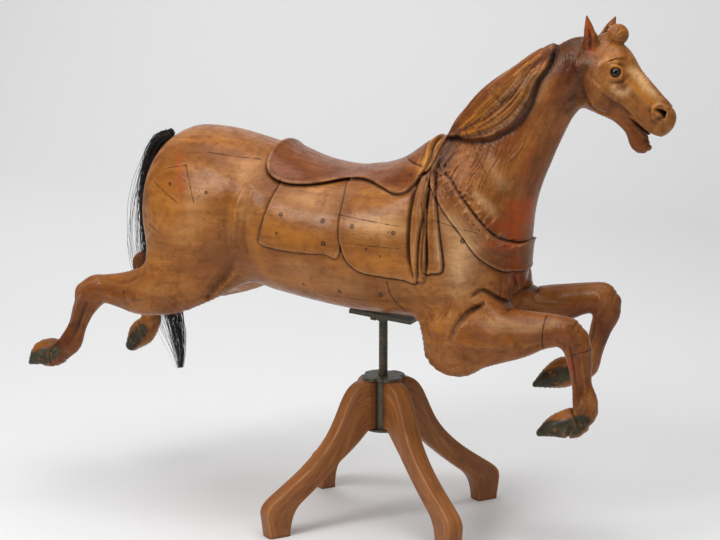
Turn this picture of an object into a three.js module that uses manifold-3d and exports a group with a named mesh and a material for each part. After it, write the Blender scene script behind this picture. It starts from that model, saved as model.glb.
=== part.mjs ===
// Carved wooden carousel horse, leaping, on a four-legged screw stand.
// Millimetres, +Z up, +X towards the horse's nose, +Y its left side, floor at z = 0.
import * as THREE from 'three'
import { mergeVertices } from 'three/addons/utils/BufferGeometryUtils.js'
import Module from 'manifold-3d'

const wasm = await Module()
wasm.setup()

// ---- driving dimensions ----
const screwX = 78          // screw axis, ahead of the middle of the overall length
const horseSetBack = 2     // the horse's datum, behind the screw axis
const gap = 0.3            // left between pieces that touch
const hubTop = 280
const hubBottom = 178
const discRadius = 41
const discThickness = 6
const columnHalf = 24      // centre of the hub to each flat of its column
const spindleRadius = 9
const spindleBottom = 186
const bossBottom = 386
const bossRadius = 12
const barLength = 125
const barWidth = 38
const barThickness = 8
const barMiddle = 396      // height of the belly bar's middle on the screw axis
const barSlope = 5.5       // degrees, nose end lower
const standLegThickness = 32
const standLegAngles = { leg_right_rear: -127, leg_right_front: -37, leg_left_front: 53, leg_left_rear: 143 }
const eyeRadius = 10.5
const eyeCentre = [455, 37, 878]
const saddleRise = 9
const blanketRise = 5
const collarRise = 5
const legSpread = 90       // middle plane of the horse to each foreleg
const hindSpread = 98

// ---- materials ----
const carvedWood = new THREE.MeshStandardMaterial({ color: 0x96551f, roughness: 0.42, metalness: 0 })
const standWood = new THREE.MeshStandardMaterial({ color: 0x9a5a26, roughness: 0.45, metalness: 0 })
const iron = new THREE.MeshStandardMaterial({ color: 0x4c463c, roughness: 0.6, metalness: 0.8 })
const rustyIron = new THREE.MeshStandardMaterial({ color: 0x7a4c30, roughness: 0.8, metalness: 0.5 })
const darkGlass = new THREE.MeshStandardMaterial({ color: 0x1a0f08, roughness: 0.08, metalness: 0 })
const hair = new THREE.MeshStandardMaterial({ color: 0x0d0c0b, roughness: 0.6, metalness: 0 })

// ---- solids from three.js geometry, joined and cut with manifold ----
function solid(geometry) {
  const bare = geometry.clone()
  bare.deleteAttribute('normal')
  bare.deleteAttribute('uv')
  const merged = mergeVertices(bare, 1e-4)
  const mesh = new wasm.Mesh({
    numProp: 3,
    vertProperties: new Float32Array(merged.attributes.position.array),
    triVerts: new Uint32Array(merged.index.array)
  })
  return new wasm.Manifold(mesh)
}

function geometryOf(body) {
  const mesh = body.getMesh()
  const geometry = new THREE.BufferGeometry()
  geometry.setAttribute('position', new THREE.BufferAttribute(new Float32Array(mesh.vertProperties), 3))
  geometry.setIndex(new THREE.BufferAttribute(new Uint32Array(mesh.triVerts), 1))
  geometry.computeVertexNormals()
  return geometry
}

const join = bodies => bodies.reduce((all, body) => all.add(body))

// A closed tube through stations [x, y, z, depth, width]: its sections are rounded ovals square to its
// path, or to a fixed direction, depth being the half size in the horse's upright plane and width the
// half size across.
function loft(stations, { sides = 14, grow = 0, square = 2, facing = null } = {}) {
  const rings = stations.length
  const centres = stations.map(([x, y, z]) => new THREE.Vector3(x, y, z))
  const points = []
  for (let ring = 0; ring < rings; ring++) {
    const before = centres[Math.max(ring - 1, 0)]
    const after = centres[Math.min(ring + 1, rings - 1)]
    const along = facing ?? after.clone().sub(before).normalize()
    const up = along.clone().cross(new THREE.Vector3(0, 1, 0)).normalize()
    const across = up.clone().cross(along)
    const depth = stations[ring][3] + grow
    const width = stations[ring][4] + grow
    for (let side = 0; side < sides; side++) {
      const angle = 2 * Math.PI * (side + 0.5) / sides
      const round = value => Math.sign(value) * Math.abs(value) ** (2 / square)
      points.push(centres[ring].clone()
        .addScaledVector(up, depth * round(Math.sin(angle)))
        .addScaledVector(across, width * round(Math.cos(angle))))
    }
  }
  const first = points.length
  points.push(centres[0], centres[rings - 1])
  const faces = []
  for (let ring = 0; ring < rings - 1; ring++) {
    for (let side = 0; side < sides; side++) {
      const a = ring * sides + side
      const b = ring * sides + (side + 1) % sides
      faces.push(a, b, a + sides, b, b + sides, a + sides)
    }
  }
  const last = (rings - 1) * sides
  for (let side = 0; side < sides; side++) {
    const next = (side + 1) % sides
    faces.push(first, next, side, first + 1, last + side, last + next)
  }
  const geometry = new THREE.BufferGeometry().setFromPoints(points)
  geometry.setIndex(faces)
  return solid(geometry)
}

function ball([x, y, z], [rx, ry, rz], detail = 10) {
  const geometry = new THREE.SphereGeometry(1, detail + 4, detail)
  geometry.scale(rx, ry, rz)
  geometry.translate(x, y, z)
  return solid(geometry)
}

// An upright prism over a closed outline of [x, z] points, between two values of y.
function slab(outline, from, to) {
  const shape = new THREE.Shape(outline.map(([x, z]) => new THREE.Vector2(x, z)))
  const geometry = new THREE.ExtrudeGeometry(shape, { depth: to - from, bevelEnabled: false })
  geometry.rotateX(Math.PI / 2)
  geometry.translate(0, to, 0)
  return solid(geometry)
}

// ---- trunk: [x, top, bottom, half width] from rump to chest, relative to the horse's datum ----
const trunkProfile = [
  [-466, 610, 520, 50], [-456, 668, 486, 90], [-434, 706, 455, 113], [-390, 734, 425, 129],
  [-335, 737, 414, 136], [-270, 727, 450, 136], [-200, 705, 437, 141], [-120, 680, 424, 147],
  [-40, 672, 411, 149], [40, 687, 404, 147], [110, 725, 400, 139], [170, 735, 400, 128],
  [222, 715, 408, 104], [254, 680, 428, 72], [272, 612, 468, 36]
]
const trunkStations = trunkProfile.map(([x, top, bottom, width]) =>
  [x, 0, (top + bottom) / 2, (top - bottom) / 2, width])
const forwards = new THREE.Vector3(1, 0, 0)
const trunk = grow => loft(trunkStations, { sides: 26, grow, square: 2.15, facing: forwards })

const neckStations = [
  [163, 0, 590, 108, 90], [206, 0, 664, 96, 76], [244, 0, 733, 86, 62], [277, 0, 786, 76, 52],
  [312, 0, 830, 66, 46], [348, 0, 860, 60, 42], [385, 0, 876, 54, 38]
]
const neck = grow => loft(neckStations, { sides: 20, grow })

const headStations = [
  [372, 0, 896, 34, 30], [392, 0, 885, 54, 40], [418, 0, 868, 67, 46], [448, 0, 843, 58, 41],
  [479, 0, 825, 45, 33], [502, 0, 807, 39, 28], [518, 0, 793, 38, 28], [531, 0, 781, 33, 26],
  [538, 0, 773, 18, 16]
]
const jawStations = [[440, 0, 808, 14, 20], [472, 0, 779, 13, 17], [489, 0, 751, 14, 15], [498, 0, 743, 8, 9]]

const earNear = [
  [394, -22, 908, 12, 12], [398, -26, 934, 12, 10], [401, -29, 954, 8, 7], [406, -30, 974, 2, 2]
]
const earFar = [
  [408, 22, 908, 12, 12], [414, 26, 934, 12, 10], [419, 29, 953, 8, 7], [425, 30, 971, 2, 2]
]
const forelockStations = [
  [402, 4, 930, 20, 22], [427, 4, 945, 18, 20], [446, 4, 944, 15, 18], [460, 4, 929, 10, 12]
]

// ---- legs, each as upper limb, cannon and hoof ----
const near = -legSpread
const nearHind = -hindSpread
const nearForeleg = [
  [[114, -74, 418, 14, 18], [128, -78, 413, 28, 30], [147, -82, 404, 49, 42], [167, -86, 394, 71, 48],
    [188, near, 390, 74, 49], [222, near, 395, 61, 44], [266, near, 400, 50, 39],
    [303, near, 407, 44, 34], [341, near, 415, 34, 29], [372, near, 418, 29, 26], [398, near, 414, 25, 23],
    [414, near, 410, 12, 13]],
  [[392, near, 422, 20, 18], [408, near, 398, 26, 24], [416, near, 362, 22, 19], [420, near, 325, 18, 17],
    [427, near, 292, 23, 21], [427, near, 268, 20, 19]],
  [[436, near, 276, 15, 15], [420, near, 263, 22, 21], [405, near, 252, 28, 26], [372, near, 243, 20, 27],
    [347, near, 230, 8, 22]]
]
const farForeleg = [
  [[130, 74, 418, 30, 28], [160, 80, 410, 58, 44], [200, 86, 412, 60, 47], [263, -near, 414, 42, 38],
    [319, -near, 427, 36, 32], [360, -near, 439, 30, 27], [392, -near, 445, 27, 25],
    [414, -near, 444, 22, 21], [426, -near, 442, 10, 12]],
  [[402, -near, 450, 20, 20], [412, -near, 422, 25, 23], [400, -near, 385, 20, 18], [389, -near, 346, 17, 16],
    [376, -near, 312, 21, 20], [362, -near, 298, 18, 18]],
  [[372, -near, 314, 14, 14], [352, -near, 305, 21, 21], [333, -near, 297, 29, 26], [309, -near, 286, 23, 27],
    [279, -near, 270, 7, 22]]
]
const nearHindleg = [
  [[-300, -58, 560, 112, 62], [-350, -72, 500, 96, 60], [-400, -90, 447, 68, 50],
    [-436, nearHind, 427, 50, 40],
    [-470, nearHind, 421, 43, 33], [-503, nearHind, 421, 34, 26], [-536, nearHind, 421, 28, 22],
    [-562, nearHind, 416, 27, 22], [-582, nearHind, 410, 20, 18]],
  [[-553, nearHind, 424, 20, 18], [-570, nearHind, 402, 26, 21], [-586, nearHind, 376, 22, 18],
    [-600, nearHind, 342, 18, 16], [-615, nearHind, 310, 22, 20], [-630, nearHind, 294, 20, 19]],
  [[-618, nearHind, 304, 15, 15], [-636, nearHind, 290, 21, 20], [-654, nearHind, 284, 28, 25],
    [-680, nearHind, 279, 24, 27], [-699, nearHind, 263, 7, 21]]
]
const farHindleg = [
  [[-290, 58, 552, 118, 62], [-345, 72, 493, 104, 60], [-400, 90, 443, 68, 50],
    [-440, -nearHind, 428, 47, 40],
    [-480, -nearHind, 429, 40, 33], [-515, -nearHind, 433, 33, 26], [-542, -nearHind, 434, 27, 22],
    [-563, -nearHind, 437, 17, 16]],
  [[-548, -nearHind, 444, 16, 16], [-554, -nearHind, 415, 25, 20], [-549, -nearHind, 375, 18, 16],
    [-544, -nearHind, 340, 17, 16], [-543, -nearHind, 318, 21, 20]],
  [[-540, -nearHind, 322, 18, 18], [-550, -nearHind, 304, 23, 23], [-566, -nearHind, 286, 26, 26],
    [-583, -nearHind, 264, 14, 24]]
]
const limb = (parts, sides = 12) => join(parts.map(stations => loft(stations, { sides })))

// ---- carved harness: outlines in the side view, standing proud of the body by a few millimetres ----
const saddleOutline = [
  [-206, 760], [-198, 690], [-176, 662], [-124, 653], [-50, 664], [0, 662], [40, 650], [76, 648],
  [100, 664], [112, 700], [120, 760]
]
const rearPanel = [[-152, 664], [-178, 600], [-189, 546], [-106, 532], [-26, 530], [-26, 664]]
const frontPanel = [
  [-26, 664], [-24, 540], [-2, 512], [54, 500], [142, 508], [176, 524], [158, 606], [128, 700]
]
const collar = [
  [126, 740], [160, 704], [212, 656], [252, 622], [330, 560], [330, 506], [254, 562], [187, 625], [122, 690]
]

function relief(outline, rise, base) {
  return slab(outline, -220, 220).intersect(base(rise))
}

const shouldered = grow => trunk(grow)
  .add(ball([172, -76, 560], [80 + grow, 54 + grow, 120 + grow], 9))
  .add(ball([172, 76, 560], [80 + grow, 54 + grow, 120 + grow], 9))

// ---- mane: overlapping locks down the right side of the neck ----
const maneLocks = [
  [[384, -14, 924, 13, 20], [350, -34, 905, 27, 18], [312, -48, 874, 38, 18], [270, -58, 832, 42, 17],
    [228, -66, 792, 36, 15], [190, -70, 768, 21, 12], [164, -70, 758, 8, 8]],
  [[300, -20, 880, 22, 26], [255, -38, 838, 32, 24], [208, -50, 793, 34, 22], [168, -54, 757, 25, 18],
    [146, -48, 736, 12, 12]]
]
const crestStations = [
  [136, 0, 728, 9, 16], [164, 0, 770, 12, 18], [209, 0, 817, 12, 18], [256, 0, 850, 12, 18],
  [312, 0, 888, 12, 18], [367, 0, 919, 12, 18], [396, 0, 926, 10, 16]
]

// ---- belly bar with the boss that the spindle is fixed in ----
function bellyBar(grow) {
  const geometry = new THREE.BoxGeometry(barLength + 2 * grow, barWidth + 2 * grow, barThickness + 2 * grow)
  geometry.rotateY(THREE.MathUtils.degToRad(barSlope))
  geometry.translate(0, 0, barMiddle)
  return solid(geometry)
}

function upright(radius, bottom, top, sides = 24) {
  const geometry = new THREE.CylinderGeometry(radius, radius, top - bottom, sides)
  geometry.rotateX(Math.PI / 2)
  geometry.translate(0, 0, (top + bottom) / 2)
  return geometry
}

const boltX = -19          // from the screw axis
const boltTop = barMiddle - barThickness / 2 - boltX * Math.tan(THREE.MathUtils.degToRad(barSlope)) - 0.6
const boltGeometry = new THREE.BoxGeometry(11, 11, 8)
boltGeometry.rotateY(THREE.MathUtils.degToRad(barSlope))
boltGeometry.translate(boltX, 0, boltTop - 4)

// ---- the horse as one carved piece ----
const eyeSocket = side => ball([eyeCentre[0], side * eyeCentre[1], eyeCentre[2]],
  [eyeRadius + gap, eyeRadius + gap, eyeRadius + gap], 8)

function horseSolid() {
  const carved = join([
    shouldered(0), neck(0),
    loft(headStations, { sides: 18 }), loft(jawStations, { sides: 10 }),
    loft(earNear, { sides: 8 }), loft(earFar, { sides: 8 }),
    loft(forelockStations, { sides: 10 }), loft(crestStations, { sides: 10 }),
    ...maneLocks.map(stations => loft(stations, { sides: 10 })),
    limb(nearForeleg), limb(farForeleg), limb(nearHindleg), limb(farHindleg),
    relief(saddleOutline, saddleRise, trunk),
    relief(rearPanel, blanketRise, trunk), relief(frontPanel, blanketRise + 1, shouldered),
    relief(collar, collarRise, grow => shouldered(grow).add(neck(grow)))
  ])
  return carved.subtract(eyeSocket(-1)).subtract(eyeSocket(1))
    .subtract(bellyBar(gap).translate([horseSetBack, 0, 0]))
}

// ---- tail of real hair, out of the top of the rump and down behind it ----
const tailStations = [
  [-436, 0, 717, 9, 12], [-458, 0, 708, 15, 19], [-477, 0, 680, 18, 24], [-486, 0, 620, 20, 27],
  [-487, 0, 550, 21, 28], [-475, 0, 480, 21, 28], [-452, 0, 410, 20, 27], [-436, 0, 345, 18, 24],
  [-428, 0, 295, 13, 18], [-425, 0, 250, 5, 7]
]

// ---- stand ----
function hubDisc() {
  const count = 48
  const outline = Array.from({ length: count }, (_, n) => {
    const angle = 2 * Math.PI * n / count
    const fromNotch = Math.abs(((THREE.MathUtils.radToDeg(angle) + 82 + 405) % 90) - 45)
    const radius = discRadius - 9 * Math.max(0, 1 - (fromNotch / 16) ** 4)
    return new THREE.Vector2(radius * Math.cos(angle), radius * Math.sin(angle))
  })
  const shape = new THREE.Shape(outline)
  const geometry = new THREE.ExtrudeGeometry(shape, { depth: discThickness, bevelEnabled: false })
  geometry.translate(0, 0, hubTop - discThickness)
  return solid(geometry)
}

function hubColumn() {
  const column = new THREE.CylinderGeometry(1, 1, hubTop - 1 - hubBottom, 8)
  const corner = columnHalf / Math.cos(Math.PI / 8)
  column.scale(corner, 1, corner)
  column.rotateX(Math.PI / 2)
  column.rotateZ(THREE.MathUtils.degToRad(-37 + 22.5))
  column.translate(0, 0, (hubTop - 1 + hubBottom) / 2)
  return solid(column)
}

function hubSolid() {
  const footPlate = solid(upright(34, hubBottom - 3, hubBottom + 1, 36))
  return join([hubDisc(), hubColumn(), footPlate])
    .subtract(solid(upright(spindleRadius + 0.6, hubBottom - 10, hubTop + 10)))
}

// Side view of a stand leg, [distance from the screw axis, height].
function standLegGeometry() {
  const bevel = 7
  const outline = new THREE.Shape()
  const inner = columnHalf + gap
  const top = hubTop - discThickness - gap
  outline.moveTo(inner, top)
  outline.lineTo(42, top)
  outline.bezierCurveTo(76, top - 4, 84, 236, 101, 202)
  outline.bezierCurveTo(118, 166, 148, 136, 192, 105)
  outline.lineTo(228, 81)
  outline.bezierCurveTo(251, 66, 261, 58, 259, 42)
  outline.lineTo(253, 0)
  outline.lineTo(209, 0)
  outline.bezierCurveTo(206, 40, 196, 53, 175, 67)
  outline.bezierCurveTo(137, 95, 107, 121, 86, 141)
  outline.lineTo(38, hubBottom + 2)
  outline.lineTo(inner, hubBottom + 2)
  const geometry = new THREE.ExtrudeGeometry(outline, {
    depth: standLegThickness - 2 * bevel, curveSegments: 5,
    bevelThickness: bevel, bevelSize: 5, bevelOffset: -5, bevelSegments: 1
  })
  geometry.translate(0, 0, -(standLegThickness - 2 * bevel) / 2)
  geometry.rotateX(Math.PI / 2)
  return geometry
}

// ---- assembly ----
const object = new THREE.Group()
const atScrew = new THREE.Group()
atScrew.position.x = screwX
object.add(atScrew)

const atDatum = new THREE.Group()
atDatum.position.x = -horseSetBack
atScrew.add(atDatum)

function place(group, name, geometry, material, turn = 0) {
  const mesh = new THREE.Mesh(geometry, material)
  mesh.name = name
  mesh.rotation.z = THREE.MathUtils.degToRad(turn)
  group.add(mesh)
}

place(atDatum, 'horse', geometryOf(horseSolid()), carvedWood)
for (const [name, side] of [['eye_right', -1], ['eye_left', 1]]) {
  const geometry = new THREE.SphereGeometry(eyeRadius, 12, 8)
  geometry.translate(eyeCentre[0], side * eyeCentre[1], eyeCentre[2])
  place(atDatum, name, geometry, darkGlass)
}
place(atDatum, 'tail', geometryOf(loft(tailStations, { sides: 12 }).subtract(trunk(gap + 1))), hair)
const boss = solid(upright(bossRadius, bossBottom, barMiddle))
place(atScrew, 'belly_bar', geometryOf(bellyBar(0).add(boss)), iron)
place(atScrew, 'belly_bolt', boltGeometry, rustyIron)
place(atScrew, 'spindle', upright(spindleRadius, spindleBottom, bossBottom - gap, 24), iron)
place(atScrew, 'hub', geometryOf(hubSolid()), iron)
for (const [name, angle] of Object.entries(standLegAngles)) {
  place(atScrew, name, standLegGeometry(), standWood, angle)
}

export default object
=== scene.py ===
import math
import time
from concurrent.futures import ThreadPoolExecutor

import bmesh
import bpy
import numpy as np
from mathutils import Matrix, Vector


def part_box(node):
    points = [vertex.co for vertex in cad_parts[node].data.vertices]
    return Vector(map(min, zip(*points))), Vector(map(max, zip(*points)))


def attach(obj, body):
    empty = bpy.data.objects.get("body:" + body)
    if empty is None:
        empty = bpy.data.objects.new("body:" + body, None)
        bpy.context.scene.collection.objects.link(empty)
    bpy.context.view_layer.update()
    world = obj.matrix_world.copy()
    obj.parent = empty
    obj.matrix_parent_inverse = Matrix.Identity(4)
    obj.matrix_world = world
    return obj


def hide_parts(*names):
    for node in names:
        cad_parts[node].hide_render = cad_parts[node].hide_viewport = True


startTime = time.time()
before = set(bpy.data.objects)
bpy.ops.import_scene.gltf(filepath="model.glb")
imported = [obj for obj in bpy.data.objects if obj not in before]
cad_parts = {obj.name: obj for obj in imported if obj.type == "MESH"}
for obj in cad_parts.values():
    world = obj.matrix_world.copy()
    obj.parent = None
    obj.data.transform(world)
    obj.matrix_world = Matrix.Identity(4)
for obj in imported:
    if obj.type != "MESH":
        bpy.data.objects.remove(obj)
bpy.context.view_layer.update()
mm = 0.001


def stageDone(name):
    print(f"{name} done at {time.time() - startTime:.1f} s")


# every number about the horse below is in millimetres, from the middle of its body and from the floor
hoofToMiddle = 703   # from the tip of the hindmost hoof to the horse's own zero
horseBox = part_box("horse")
horseX = horseBox[0].x + hoofToMiddle * mm
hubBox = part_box("hub")
screwX = (hubBox[0].x + hubBox[1].x) / 2
screwY = (hubBox[0].y + hubBox[1].y) / 2


# curves and carving tools

def stretchOfCurve(a, b, c, d, count):
    # a Catmull-Rom stretch from b towards c, without c itself
    t = (np.arange(count) / count)[:, None]
    return 0.5 * (2 * b + (c - a) * t + (2 * a - 5 * b + 4 * c - d) * t ** 2 + (3 * b - a - 3 * c + d)
                  * t ** 3)


def smoothPath(rows, step, axes=3):
    # a curve through rows of numbers, about one point every step along the first axes
    p = np.array(rows, float)
    q = np.vstack([2 * p[0] - p[1], p, 2 * p[-1] - p[-2]])
    out = []
    for i in range(1, len(q) - 2):
        a, b, c, d = q[i - 1:i + 3]
        n = max(1, int(round(np.linalg.norm((c - b)[:axes]) / step)))
        out.append(stretchOfCurve(a, b, c, d, n))
    out.append(p[-1:])
    return np.vstack(out)


def unit(v):
    return v / np.maximum(np.linalg.norm(v, axis=-1, keepdims=True), 1e-9)


reliefRoom = 26   # how far past a plain form its relief and blends can reach


class Limb:
    # an oval rod along a path of rows: x, y, z, half depth in the upright plane, half width across

    def __init__(self, rows, blend, step=7.0):
        s = smoothPath(rows, step)
        self.c = s[:, :3].astype(np.float32)
        t = unit(np.gradient(s[:, :3], axis=0))
        u = unit(np.cross(t, (0.0, 1.0, 0.0)))
        self.t, self.u = t.astype(np.float32), u.astype(np.float32)
        self.w = np.cross(u, t).astype(np.float32)
        self.size = np.maximum(s[:, 3:5], 0.6).astype(np.float32)
        big = self.size.max(1)[:, None] + reliefRoom + blend
        self.low, self.high = (self.c - big).min(0), (self.c + big).max(0)
        self.blend = blend

    def distance(self, p):
        c, n = self.c, len(self.c)
        near = (p @ (-2 * c.T) + (c * c).sum(1)).argmin(1)
        best = np.full(len(p), 1e4, np.float32)
        for shift in (-1, 0):
            i = np.clip(near + shift, 0, n - 2)
            a = c[i]
            ab = c[i + 1] - a
            t = np.clip(((p - a) * ab).sum(1) / (ab * ab).sum(1), 0, 1)[:, None]
            v = p - (a + ab * t)
            x = (v * (self.u[i] + (self.u[i + 1] - self.u[i]) * t)).sum(1)
            y = (v * (self.w[i] + (self.w[i + 1] - self.w[i]) * t)).sum(1)
            z = (v * self.t[i]).sum(1)
            s = self.size[i] + (self.size[i + 1] - self.size[i]) * t
            sx, sy = s[:, 0], s[:, 1]
            sz = np.minimum(sx, sy)
            k0 = np.sqrt((x / sx) ** 2 + (y / sy) ** 2 + (z / sz) ** 2)
            k1 = np.sqrt((x / sx ** 2) ** 2 + (y / sy ** 2) ** 2 + (z / sz ** 2) ** 2)
            best = np.minimum(best, np.where(k1 < 1e-5, -sz, k0 * (k0 - 1) / np.maximum(k1, 1e-5)))
        return best


class Ball:
    # an ellipsoid: centre, radii, turned about Y by tilt degrees

    def __init__(self, centre, radii, blend, tilt=0.0):
        self.centre, self.radii = np.float32(centre), np.float32(radii)
        self.blend = blend
        self.tilt = math.radians(tilt)
        big = max(radii) + reliefRoom + blend
        self.low, self.high = self.centre - big, self.centre + big

    def distance(self, p):
        v = p - self.centre
        if self.tilt:
            c, s = math.cos(self.tilt), math.sin(self.tilt)
            v = np.stack([v[:, 0] * c + v[:, 2] * s, v[:, 1], v[:, 2] * c - v[:, 0] * s], 1)
        k0 = np.linalg.norm(v / self.radii, axis=1)
        k1 = np.linalg.norm(v / self.radii ** 2, axis=1)
        return k0 * (k0 - 1) / np.maximum(k1, 1e-5)


def join(a, b, k):
    h = np.maximum(k - np.abs(a - b), 0) / k
    return np.minimum(a, b) - h * h * k * 0.25


# drawing boards: flat side views, one cell a millimetre, that hold relief heights, stain masks and masks of
# painted shade and painted highlights
board = {"x": -725, "z": 205, "wide": 1300, "tall": 800}
boardNames = ("relief", "red", "dark", "pale", "gold", "orange", "green", "skin", "hair")
boards = {(side, name): np.zeros((board["wide"], board["tall"]), np.float32)
          for side in ("near", "far", "both") for name in boardNames}


def window(points, pad):
    p = np.array(points, float)
    x0 = int(max(0, math.floor(p[:, 0].min() - pad - board["x"])))
    x1 = int(min(board["wide"], math.ceil(p[:, 0].max() + pad - board["x"]) + 1))
    z0 = int(max(0, math.floor(p[:, 1].min() - pad - board["z"])))
    z1 = int(min(board["tall"], math.ceil(p[:, 1].max() + pad - board["z"]) + 1))
    x = (np.arange(x0, x1) + board["x"])[:, None].astype(np.float32)
    z = (np.arange(z0, z1) + board["z"])[None, :].astype(np.float32)
    return (slice(x0, x1), slice(z0, z1)), x, z


def pencil(side, name, rows, kind="bell", mode="add", step=5.0):
    # rows: x, z, half width, height. Kinds: bell, round, soft. Narrow deep cuts also get painted shade on
    # the dark board
    if name == "relief" and min(r[3] for r in rows) < -1.2 and rows[0][2] < 7:
        pencil(side, "dark", [(r[0], r[1], r[2] * 0.7, min(0.8, -0.09 * min(r[3], 0))) for r in rows],
               "soft", "max")
    s = smoothPath(rows, step, 2)
    s[:, 2] = np.maximum(s[:, 2], 0.4)
    reach = 2.2 if kind == "soft" else 1.0
    where, x, z = window(s, s[:, 2].max() * reach + 1)
    best = np.full((x.shape[0], z.shape[1]), 1e6, np.float32)
    height = np.zeros_like(best)
    for a, b in zip(s[:-1], s[1:]):
        dx, dz = b[0] - a[0], b[1] - a[1]
        t = np.clip(((x - a[0]) * dx + (z - a[1]) * dz) / max(dx * dx + dz * dz, 1e-6), 0, 1)
        d = (x - a[0] - dx * t) ** 2 + (z - a[1] - dz * t) ** 2
        d = d / (a[2] + (b[2] - a[2]) * t) ** 2
        m = d < best
        best = np.where(m, d, best)
        height = np.where(m, a[3] + (b[3] - a[3]) * t, height)
    r = np.sqrt(best)
    if kind == "bell":
        shape = np.where(r < 1, 0.5 + 0.5 * np.cos(math.pi * np.minimum(r, 1)), 0)
    elif kind == "round":
        shape = np.sqrt(np.maximum(1 - r * r, 0))
    else:
        shape = np.exp(-1.6 * r * r) * (r < 2.2)
    target = boards[side, name]
    if mode == "add":
        target[where] += height * shape
    else:
        target[where] = np.maximum(target[where], height * shape)


def outlineField(points, pad, step=6.0, rounded=True):
    # distance inside a closed outline, positive within it
    p = np.array(points, float)
    if rounded:
        loop = np.vstack([p[-1:], p, p[:2]])
        out = []
        for i in range(1, len(loop) - 2):
            a, b, c, d = loop[i - 1:i + 3]
            n = max(1, int(round(np.linalg.norm(c - b) / step)))
            out.append(stretchOfCurve(a, b, c, d, n))
        p = np.vstack(out)
    where, x, z = window(p, pad)
    best = np.full((x.shape[0], z.shape[1]), 1e9, np.float32)
    inside = np.zeros(best.shape, bool)
    for a, b in zip(p, np.roll(p, -1, 0)):
        dx, dz = b[0] - a[0], b[1] - a[1]
        t = np.clip(((x - a[0]) * dx + (z - a[1]) * dz) / max(dx * dx + dz * dz, 1e-6), 0, 1)
        best = np.minimum(best, (x - a[0] - dx * t) ** 2 + (z - a[1] - dz * t) ** 2)
        if abs(dz) > 1e-6:
            inside ^= ((a[1] > z) != (b[1] > z)) & (x < a[0] + dx * (z - a[1]) / dz)
    return where, np.where(inside, 1, -1) * np.sqrt(best)


def ease(x, a, b):
    t = np.clip((x - a) / (b - a), 0, 1)
    return t * t * (3 - 2 * t)


def panel(side, outline, rise, edge=4.0, lip=0.0, lipWide=4.0, groove=0.0, grooveWide=2.5, rounded=True):
    # a raised flat with an edge, an optional rolled lip inside it and a groove cut outside it, with painted
    # shade in the groove and a painted highlight along the lip
    where, d = outlineField(outline, 30, rounded=rounded)
    h = rise * ease(d, -edge / 2, edge / 2)
    h += lip * np.exp(-((d - lipWide) / lipWide) ** 2)
    h -= groove * np.exp(-((d + grooveWide * 0.8) / grooveWide) ** 2)
    boards[side, "relief"][where] += h
    # painted shade in the groove outside the edge
    if groove:
        dark = boards[side, "dark"]
        dark[where] = np.maximum(dark[where], 0.55 * np.exp(-((d + grooveWide) / (grooveWide * 0.8)) ** 2))
    # a painted highlight along the rolled lip
    if lip:
        pale = boards[side, "pale"]
        pale[where] = np.maximum(pale[where], 0.10 * np.exp(-((d - 1.5) / 2.4) ** 2))


def wash(side, name, outline, amount, soft=12.0, rounded=True):
    # fills an outline with a mask (stains, and painted shade at the withers), at least as strong as the
    # amount, with a soft edge
    where, d = outlineField(outline, soft + 2, rounded=rounded)
    target = boards[side, name]
    target[where] = np.maximum(target[where], amount * ease(d, -soft, soft))


def lookUp(name, x, y, z):
    # what the boards say at points in space: the near and far boards take over away from the middle plane
    fx = np.clip(x - board["x"], 0, board["wide"] - 1.001)
    fz = np.clip(z - board["z"], 0, board["tall"] - 1.001)
    ix, iz = fx.astype(np.int32), fz.astype(np.int32)
    tx, tz = (fx - ix).astype(np.float32), (fz - iz).astype(np.float32)

    def read(a):
        return ((a[ix, iz] * (1 - tx) + a[ix + 1, iz] * tx) * (1 - tz)
                + (a[ix, iz + 1] * (1 - tx) + a[ix + 1, iz + 1] * tx) * tz)
    nearShare = ease(-y, -2.0, 14.0)
    farShare = ease(y, -2.0, 14.0)
    return read(boards["both", name]) + nearShare * read(boards["near",
                                                                name]) + farShare * read(boards["far", name])


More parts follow.
